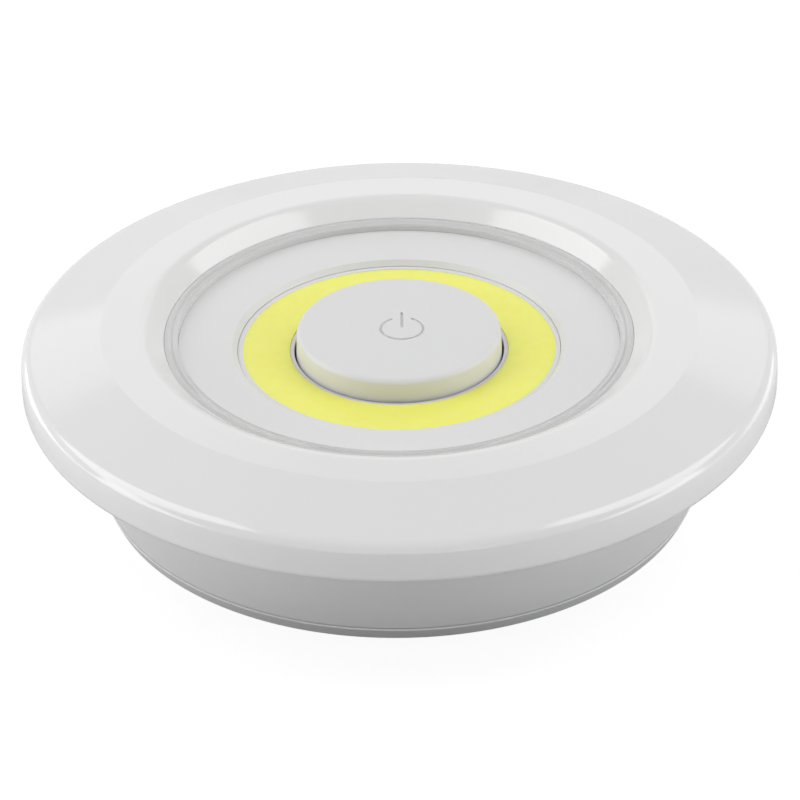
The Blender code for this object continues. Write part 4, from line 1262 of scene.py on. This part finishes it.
@dataclass
class Cup(Assembly):
    """White body of the light: a wall round a floor that splits cells from electronics."""

    floor: Pair = (14.3, 15.9)
    inside: Line = ((0.0, 15.9), (47.85, 15.9, 0.5), (47.85, 27.12, 0.2))
    wall: Line = ((49.95, 27.12, 0.3), (49.95, 18.82), (49.88, 2.54, 0.03), (47.85, 2.54, 0.12))
    bay: Line = ((47.85, 14.3, 0.5), (0.0, 14.3))
    bay_side: Block = ((53.9, 1.3, 10.6), (0.0, 17.8, 9.8))
    bay_end: Block = ((1.3, 35.6, 10.6), (26.3, 0.0, 9.8))
    cell_rib: Block = ((30.0, 0.5, 5.8), (0.0, 5.8, 12.2))
    lug: Block = ((2.35, 10.4, 1.3), (47.475, 0.0, 4.95))
    stop: Block = ((2.35, 1.2, 2.9), (47.475, 4.9, 5.75))
    tab_slot: Block = ((1.0, 3.4, 3.6), (25.15, 11.6, 15.1))
    hole_radius: float = 1.55
    screw_circle: float = 43.8
    screw: Screw = Screw(head_radius=2.4, head_height=1.6, shank_radius=1.25, length=8.0)
    screw_depth: float = 0.3

    def build(self) -> None:
        """Make the cup and the screws that hold the flange to it."""
        low, high = self.floor
        line = Section(closed=False).to(*self.inside, *self.wall, *self.bay)
        cup = self.shop.turned("cup_body", CUP_WHITE, line)
        fittings = (self.shop.blocks((self.bay_side, self.bay_end, self.cell_rib), HALVES)
                    + self.shop.blocks((self.lug, self.stop), THIRDS))
        openings = (self.shop.rods(self.hole_radius, low - 1, high + 1, self.screw_circle,
                                   self.shop.bore_sides)
                    + self.shop.blocks((self.tab_slot,), HALVES))
        self.shop.worked(cup, fittings, openings)
        self.bench.seat(cup, CUP_WHITE, "housing_cup")
        screws = self.shop.repeated(
            self.shop.ring_row, "case_screws", NICKEL, self.screw.form(self.shop), count=3,
            radius=self.screw_circle * MM, height=(low - self.screw_depth) * MM, tilt=0.0,
            first_angle=SCREW_START)
        self.bench.seat(screws, NICKEL, "case_screw_1", "case_screw_2", "case_screw_3")


@dataclass
class BackCover(Assembly):
    """Thin tapered cover with finger recesses, a bayonet ring and a sticky pad.

    A recess is given by layers, each with its height and how far it stands outside the recess.
    """

    inside: Line = ((0.0, 2.7), (44.45, 2.7, 0.3))
    ring: Line = ((44.45, 7.2, 0.25), (45.95, 7.2, 0.25), (45.95, 2.4, 0.15))
    band: Line = ((50.15, 2.4, 0.22), (49.05, 0.0, 0.6))
    pad_recess: Line = ((30.3, 0.0, 0.2), (30.3, 1.3, 0.15), (0.0, 1.3))
    lug: Block = ((2.05, 8.0, 1.3), (46.225, 0.0, 6.55))
    grip_place: float = 39.525
    grip_ends: Pair = (4.75, -4.75)
    grip_half: float = 2.25
    grip_steps: int = 16
    grip_layers: Line = ((-0.5, 0.3), (0.0, 0.2), (0.2, 0.0), (0.65, -0.1), (0.8, -0.3))
    rib_size: Triple = (3.2, 0.5, 0.5)
    rib_edge: float = 0.15
    rib_count: int = 7
    rib_span: float = 10.0
    rib_height: float = 0.7
    pad: Line = ((0.0, 1.0), (30.0, 1.0, 0.15), (30.0, 0.0, 0.15), (0.0, 0.0))

    def build(self) -> None:
        """Make the cover, the ribs in its recesses, and the pad."""
        line = Section(closed=False).to(*self.inside, *self.ring, *self.band, *self.pad_recess)
        cover = self.shop.turned("cover_disc", CUP_WHITE, line)
        grips = [self.shop.stacked("grip", [
            (height, stroke(side * self.grip_place, self.grip_ends, self.grip_half + grow,
                            self.grip_steps))
            for height, grow in self.grip_layers]) for side in SIDES]
        self.shop.worked(cover, self.shop.blocks((self.lug,), THIRDS), grips)
        self.bench.seat(cover, CUP_WHITE, "back_cover", body=Body.COVER)
        step = self.rib_span / (self.rib_count - 1)
        for side, name in zip(SIDES, ("left", "right")):
            rib = self.shop.block("rib", self.rib_size, (0.0, 0.0, 0.0), edge=self.rib_edge)
            first = Vector((side * self.grip_place, -self.rib_span / 2, self.rib_height)) * MM
            row = self.shop.repeated(
                self.shop.straight_row, f"grip_ribs_{name}", CUP_WHITE, rib, count=self.rib_count,
                first=first, step=Vector((0.0, step * MM, 0.0)))
            self.bench.seat(row, CUP_WHITE, body=Body.COVER)
        disc = self.shop.turned("sticky_pad", FOAM, Section(closed=False).to(*self.pad))
        self.bench.seat(disc, FOAM, "mounting_pad", body=Body.COVER)


@dataclass
class DriverBoard(Assembly):
    """Small board with the latching switch and its few parts."""

    mounted: float = 17.7
    spring_turns: float = 5.0
    spring_radius: float = 5.6
    spring_wire: float = 0.4
    spring_length: float = 8.3
    spring_hold: float = 1.0
    screw: Screw = Screw(head_radius=1.8, head_height=1.2, shank_radius=0.9, length=2.7)
    screw_places: tuple[Pair, ...] = ((-18.8, 9.8), (18.8, -9.8))
    chip_place: Pair = (10.0, 4.0)
    chip: Block = ((5.0, 3.6, 1.3), (10.0, 4.0, 18.55))
    chip_edge: float = 0.12
    chip_top: float = 19.2
    dimple_place: Pair = (8.1, 2.8)
    dimple_radius: float = 0.3
    dimple_depth: float = 0.08
    dimple_sides: int = 20
    leg_first: Pair = (-1.9, 1.7)
    leg_count: int = 4
    leg_pitch: float = 1.27
    leg_route: Line = ((0.0, 0.0, 0.55), (0.0, 0.25, 0.55), (0.0, 0.35, 0.12), (0.0, 0.8, 0.10))
    leg_radius: float = 0.12
    can_place: Triple = (9.5, -4.0, 17.7)
    can: Line = ((0.0, 5.3), (1.65, 5.3, 0.05), (1.75, 5.4, 0.05), (2.0, 5.4, 0.2),
                 (2.0, 1.1, 0.1), (1.8, 0.9, 0.1), (2.0, 0.7, 0.1), (2.0, 0.0, 0.1), (0.0, 0.0))
    vent: Block = ((2.4, 0.18, 0.32), (0.0, 0.0, 5.4))
    resistor_place: Triple = (-10.5, 1.7, 18.0)
    resistor_size: Triple = (2.3, 1.5, 0.5)
    resistor_edge: float = 0.05
    resistor_end: Triple = (0.5, 1.6, 0.6)
    resistor_end_edge: float = 0.08
    resistor_reach: float = 1.35

    def build(self) -> None:
        """Dress the board and the switch, and add the spring, the parts and the screws."""
        self.bench.keep(BOARD_GREEN, "driver_board")
        self.bench.keep(BLACK, "switch_body")
        coil = self.shop.wound("return_spring_coil", self.spring_turns,
                               foot_radius=self.spring_radius, tip_radius=self.spring_radius,
                               length=self.spring_length, wire_radius=self.spring_wire)
        low = self.mounted + self.spring_wire
        coil.data.transform(Matrix.Translation((0.0, 0.0, low * MM)))
        self.bench.flex(coil, NICKEL, low + self.spring_hold,
                        low + self.spring_length - self.spring_hold, "return_spring")
        self.build_chip()
        self.build_capacitor()
        self.build_resistors()
        screw = self.screw.form(self.shop)
        for number, place in enumerate(self.screw_places, start=1):
            head = linked(f"board_screw_head_{number}", screw.data.copy())
            seat = Matrix.Translation(Vector((*place, self.mounted)) * MM)
            head.data.transform(seat @ Matrix.Rotation(math.pi, 4, "X"))
            self.bench.seat(head, NICKEL, f"board_screw_{number}")
        bpy.data.objects.remove(screw, do_unlink=True)

    def build_chip(self) -> None:
        """Make the chip with its two rows of legs."""
        across, along = self.chip_place
        body = self.shop.block("chip_body", *self.chip, edge=self.chip_edge)
        dimple = self.shop.rod("dimple", self.dimple_radius, self.chip_top - self.dimple_depth,
                               self.chip_top + 1, self.dimple_place, self.dimple_sides)
        self.bench.seat(self.shop.worked(body, [], [dimple]), BLACK, "driver_chip")
        for side, name in zip(SIDES, ("front", "rear")):
            leg = self.shop.tube("leg", SOLDER, self.leg_route, self.leg_radius, (1, side))
            first = Vector((across + self.leg_first[0], along + side * self.leg_first[1],
                            self.mounted)) * MM
            row = self.shop.repeated(self.shop.straight_row, f"chip_legs_{name}", SOLDER, leg,
                                     count=self.leg_count, first=first,
                                     step=Vector((self.leg_pitch * MM, 0.0, 0.0)))
            self.bench.seat(row, SOLDER)

    def build_capacitor(self) -> None:
        """Make the capacitor's can on its rubber foot, with a cross-shaped vent."""
        can = self.shop.turned("capacitor_body", CAN, Section(closed=False).to(*self.can),
                               self.shop.small)
        self.shop.worked(can, [], self.shop.blocks((self.vent,), (0.0, math.pi / 2)))
        can.data.transform(Matrix.Translation(Vector(self.can_place) * MM))
        self.bench.seat(can, CAN, "capacitor")

    def build_resistors(self) -> None:
        """Make the two chip resistors with their bright ends."""
        across, aside, height = self.resistor_place
        for number, side in enumerate(SIDES, start=1):
            place = (across, side * aside, height)
            body = self.shop.block(f"resistor_body_{number}", self.resistor_size, place,
                                   edge=self.resistor_edge)
            self.bench.seat(tidied(body), BLACK, f"resistor_{number}")
            end = self.shop.block("end", self.resistor_end, (0.0, 0.0, 0.0),
                                  edge=self.resistor_end_edge)
            first = (Vector(place) - Vector((self.resistor_reach, 0.0, 0.0))) * MM
            row = self.shop.repeated(
                self.shop.straight_row, f"resistor_ends_{number}", SOLDER, end, count=2,
                first=first, step=Vector((2 * self.resistor_reach * MM, 0.0, 0.0)))
            self.bench.seat(row, SOLDER)


@dataclass
class BatteryBay(Assembly):
    """Three cells side by side with their contacts, springs and leads.

    Each row is given by its number, its place across the bay and its positive side.
    """

    rows: tuple[tuple[int, float, int], ...] = ((1, -11.6, -1), (2, 0.0, 1), (3, 11.6, -1))
    axis_height: float = 8.75
    spring_seat: float = 24.35
    spring_turns: float = 3.0
    spring_foot: float = 3.4
    spring_tip: float = 2.1
    spring_length: float = 3.9
    spring_wire: float = 0.3
    cell_seat: float = -19.85
    film: Line = ((4.6, 0.25, 0.1), (5.25, 0.35, 0.3), (5.25, 34.15), (4.6, 34.15))
    band: Line = ((4.6, 34.15), (5.25, 34.15), (5.25, 43.15, 0.35), (4.6, 43.15, 0.1))
    can: Line = ((0.0, 44.5), (1.9, 44.5, 0.3), (1.95, 43.5, 0.15), (3.9, 43.45, 0.2),
                 (4.3, 43.2, 0.1), (5.0, 43.2, 0.3), (5.0, 0.1, 0.5), (4.2, 0.1, 0.1),
                 (4.0, 0.0, 0.1), (0.0, 0.0))
    lead_radius: float = 0.35
    board_route: Line = (
        (20.6, 2.0, 18.05), (24.0, 2.0, 18.05), (28.0, 2.0, 18.2), (31.9, 2.0, 18.6),
        (31.9, 2.0, 20.0), (31.9, 2.0, 22.0), (31.9, 2.0, 23.6), (31.3, 2.0, 24.15),
        (29.1, 2.0, 24.15))
    cell_route: Line = ((24.3, 11.6, 17.2), (23.6, 11.2, 17.9), (22.6, 10.5, 18.05),
                        (20.6, 9.8, 18.05))

    def lay(self, piece: Piece, across: float, side: int, foot: float) -> None:
        """Lay an upright form along the bay.

        Args:
            piece: The form, which stands on the origin.
            across: Its row's place across the bay.
            side: The side that its top faces.
            foot: How far from the bay's middle its foot comes to lie, by sign.
        """
        seat = Matrix.Translation(Vector((foot, across, self.axis_height)) * MM)
        piece.data.transform(seat @ Matrix.Rotation(side * math.pi / 2, 4, "Y"))

    def build(self) -> None:
        """Make cells, springs and leads, and dress the contact plates."""
        for number, across, side in self.rows:
            for label, finish, section, nodes in (
                    ("film", JACKET, Section().to(*self.film), (f"cell_{number}",)),
                    ("band", JACKET_BAND, Section().to(*self.band), ()),
                    ("can", NICKEL, Section(closed=False).to(*self.can), ())):
                piece = self.shop.turned(f"cell_{number}_{label}", finish, section,
                                         self.shop.small)
                self.lay(piece, across, side, side * self.cell_seat)
                self.bench.seat(piece, finish, *nodes)
            coil = self.shop.wound(f"cell_spring_coil_{number}", self.spring_turns,
                                   foot_radius=self.spring_foot, tip_radius=self.spring_tip,
                                   length=self.spring_length, wire_radius=self.spring_wire)
            self.lay(coil, across, side, -side * self.spring_seat)
            self.bench.seat(coil, NICKEL, f"cell_spring_{number}")
        self.bench.keep(NICKEL, "contact_positive", "contact_negative", "bridge_left",
                        "bridge_right")
        for name, finish, route, flip in (
                ("led_lead_black", DARK, self.board_route, (1, -1)),
                ("led_lead_red", RED, self.board_route, (1, 1)),
                ("battery_lead_red", RED, self.cell_route, (-1, -1)),
                ("battery_lead_black", DARK, self.cell_route, (1, 1))):
            wire = self.shop.tube(f"{name}_wire", finish, route, self.lead_radius, flip)
            self.bench.seat(wire, finish, name)


@dataclass
class Studio:
    """Pale floor, soft lamps and the camera.

    Each lamp is given with its place, its width and height, and its power in watts.
    """

    camera_distance: float = 781.8
    aim_height: float = 24.7
    pitch: float = 0.53847
    roll: float = 0.01442
    lens: float = 212.66
    sensor_width: float = 36.0
    clip_range: Pair = (0.01, 20.0)
    focal_pixels: float = 4725.7
    aim_pixel: Pair = (399.18, 347.65)
    middle_pixel: float = 400.0
    ambient: float = 0.16
    floor_level: float = -0.05
    floor_hole: float = 48.9
    floor_reach: float = 3000.0
    floor_sides: int = 96
    # Near the object the floor's lighting colour and its share in reflections are darkened: a
    # painted shadow of the object, lifted at its sides as painted light.
    painted_shadow_start: float = 54.0
    painted_shadow_end: float = 94.0
    mirror_shadow_end: float = 150.0
    floor_painted_shadow: float = 0.05
    floor_painted_side_light: float = 0.45
    floor_colour: float = 0.76
    floor_glow: float = 0.87
    floor_shade: float = 0.22
    mirror_painted_shadow: float = 0.2
    floor_mirror: float = 0.7
    lamps: tuple[tuple[str, Triple, Pair, float], ...] = (
        ("left box", (-900.0, 250.0, 1050.0), (900.0, 1050.0), 7.8),
        ("right box", (880.0, 220.0, 1100.0), (900.0, 1000.0), 7.1),
        ("rear strip", (0.0, 1400.0, 800.0), (1600.0, 500.0), 1.8),
        ("front strip", (0.0, -1600.0, 230.0), (1800.0, 300.0), 5.0),
        ("left side", (-1300.0, -300.0, 500.0), (900.0, 500.0), 4.4),
        ("right side", (1300.0, -300.0, 500.0), (900.0, 500.0), 4.7),
        ("left strip", (-1300.0, 400.0, 140.0), (1900.0, 260.0), 3.9),
        ("right strip", (1300.0, 400.0, 140.0), (1900.0, 260.0), 2.3),
        ("under box", (0.0, 0.0, -1200.0), (900.0, 900.0), 8.0),
    )

    def build(self) -> None:
        """Make floor, world, lamps and camera."""
        self.build_floor()
        self.build_world()
        for name, place, size, watts in self.lamps:
            self.build_lamp(name, place, size, watts)
        self.build_camera()

    def background_share(self, graph: NodeGraph, mirror: Source | float) -> Source:
        """Tell the rays that show the background from those that light the object.

        Args:
            graph: The graph to add to.
            mirror: How much of the background a reflection shows.

        Returns:
            One where a ray shows the background, else zero.
        """
        path = graph.add("ShaderNodeLightPath").outputs
        mirrored = graph.maths("MULTIPLY", path["Is Glossy Ray"], mirror)
        both = graph.maths("MAXIMUM", path["Is Camera Ray"], mirrored)
        return graph.maths("MAXIMUM", both, path["Is Transmission Ray"])

    def build_floor(self) -> None:
        """Make a pale floor, open under the object, which is clear from below."""
        shape = bmesh.new()
        inner, outer = [[shape.verts.new(Vector((*spot, self.floor_level)) * MM)
                         for spot in arc(AXIS, radius, 0.0, math.tau, self.floor_sides)[:-1]]
                        for radius in (self.floor_hole, self.floor_reach)]
        bridge(shape, outer, inner)
        floor = from_shape("studio_floor", shape)
        floor.data.materials.append(self.floor_material())

    def floor_material(self) -> bpy.types.Material:
        """Make the floor's finish, which shows white round a soft shadow.

        It throws less light close to the object, and least of all in front of it and behind it.
        This is a painted shadow of the object, both in the colour that lights the object and in
        the floor that its reflections show, and it is lifted at the object's sides as painted
        light.

        Returns:
            The finished material.
        """
        made = bpy.data.materials.new("pale floor")
        made.use_nodes = True
        nodes = made.node_tree.nodes
        nodes.remove(nodes["Principled BSDF"])
        graph = NodeGraph(made.node_tree)
        place = graph.add("ShaderNodeTexCoord").outputs["Object"]
        reach, outward = [graph.add("ShaderNodeVectorMath", {0: place}, operation=step).outputs
                          for step in ("LENGTH", "NORMALIZE")]
        # Painted shadow of the object on the floor: darkest in front and behind, lifted at the
        # sides as painted light.
        aside = graph.add("ShaderNodeSeparateXYZ", {0: outward["Vector"]}).outputs["X"]
        near = graph.maths("MULTIPLY_ADD", graph.maths("MULTIPLY", aside, aside), self.floor_painted_side_light,
                           self.floor_painted_shadow)
        # The floor's lighting colour and its share in reflections fade from the painted shadow
        # near the object to their full values further out.
        pale, mirror = [
            graph.ranged(reach["Value"], (self.painted_shadow_start * MM, far * MM), ends, smooth=True)
            for far, ends in ((self.painted_shadow_end, (near, self.floor_colour)),
                              (self.mirror_shadow_end, (self.mirror_painted_shadow, self.floor_mirror)))]
        shown = self.background_share(graph, mirror)
        matt = graph.add("ShaderNodeBsdfDiffuse", {
            "Color": graph.blend(shown, pale, (self.floor_shade,) * 3)})
        glow = graph.add("ShaderNodeEmission", {
            "Strength": graph.maths("MULTIPLY", shown, self.floor_glow)})
        face = graph.add("ShaderNodeAddShader", {0: matt.outputs[0], 1: glow.outputs[0]})
        side = graph.add("ShaderNodeNewGeometry").outputs["Backfacing"]
        clear = graph.add("ShaderNodeBsdfTransparent")
        both = graph.add("ShaderNodeMixShader", {
            0: side, 1: face.outputs[0], 2: clear.outputs[0]})
        graph.feed(nodes["Material Output"].inputs["Surface"], both.outputs[0])
        return made

    def build_world(self) -> None:
        """Make a world that shows white and lights softly."""
        world = bpy.data.worlds.new("studio")
        world.use_nodes = True
        bpy.context.scene.world = world
        graph = NodeGraph(world.node_tree)
        shown = self.background_share(graph, 1.0)
        colour = graph.blend(shown, (self.ambient,) * 3, (1.0, 1.0, 1.0))
        graph.feed(world.node_tree.nodes["Background"].inputs["Color"], colour)

    def build_lamp(self, name: str, place: Triple, size: Pair, watts: float) -> None:
        """Make one soft lamp that faces the light.

        Args:
            name: The lamp's name.
            place: Where it stands.
            size: Its width and height.
            watts: Its power.
        """
        lamp = bpy.data.lights.new(name, "AREA")
        lamp.shape = "RECTANGLE"
        lamp.size, lamp.size_y = size[0] * MM, size[1] * MM
        lamp.energy = watts
        holder = linked(name, lamp)
        holder.location = Vector(place) * MM
        holder.rotation_euler = (-holder.location).to_track_quat("-Z", "Y").to_euler()
        holder.visible_camera = False

    def build_camera(self) -> None:
        """Stand the camera where the photograph was taken from."""
        camera = bpy.data.cameras.new("camera")
        camera.lens = self.lens
        camera.sensor_width = self.sensor_width
        camera.clip_start, camera.clip_end = self.clip_range
        holder = linked("camera", camera)
        back = Vector((0.0, -math.cos(self.pitch), math.sin(self.pitch)))
        right = Vector((1.0, 0.0, 0.0))
        axes = Matrix((right, back.cross(right), back)).transposed().to_4x4()
        aside, down = [math.atan((self.middle_pixel - pixel) / self.focal_pixels)
                       for pixel in self.aim_pixel]
        turn = (Matrix.Rotation(-self.roll, 4, "Z") @ Matrix.Rotation(-down, 4, "X")
                @ Matrix.Rotation(-aside, 4, "Y"))
        seat = Vector((0.0, 0.0, self.aim_height * MM)) + back * self.camera_distance * MM
        holder.matrix_world = Matrix.Translation(seat) @ axes @ turn
        bpy.context.scene.camera = holder
        bpy.context.scene.view_settings.view_transform = "Standard"


def main() -> None:
    """Load the frame, build every sub-assembly over it, make the studio, and report the pieces."""
    logging.basicConfig(level=logging.INFO, format="%(message)s")
    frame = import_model()
    shop = Workshop()
    bench = Bench(frame["nodes"])
    for kind in (Bezel, ClearRing, Dish, GlowRing, PushButton, Cup, BackCover, DriverBoard,
                 BatteryBay):
        LOG.info("building %s", kind.__name__)
        kind(shop, bench).build()
    Studio().build()
    LOG.info("%d pieces seated", bench.count)


if __name__ == "__main__":
    main()
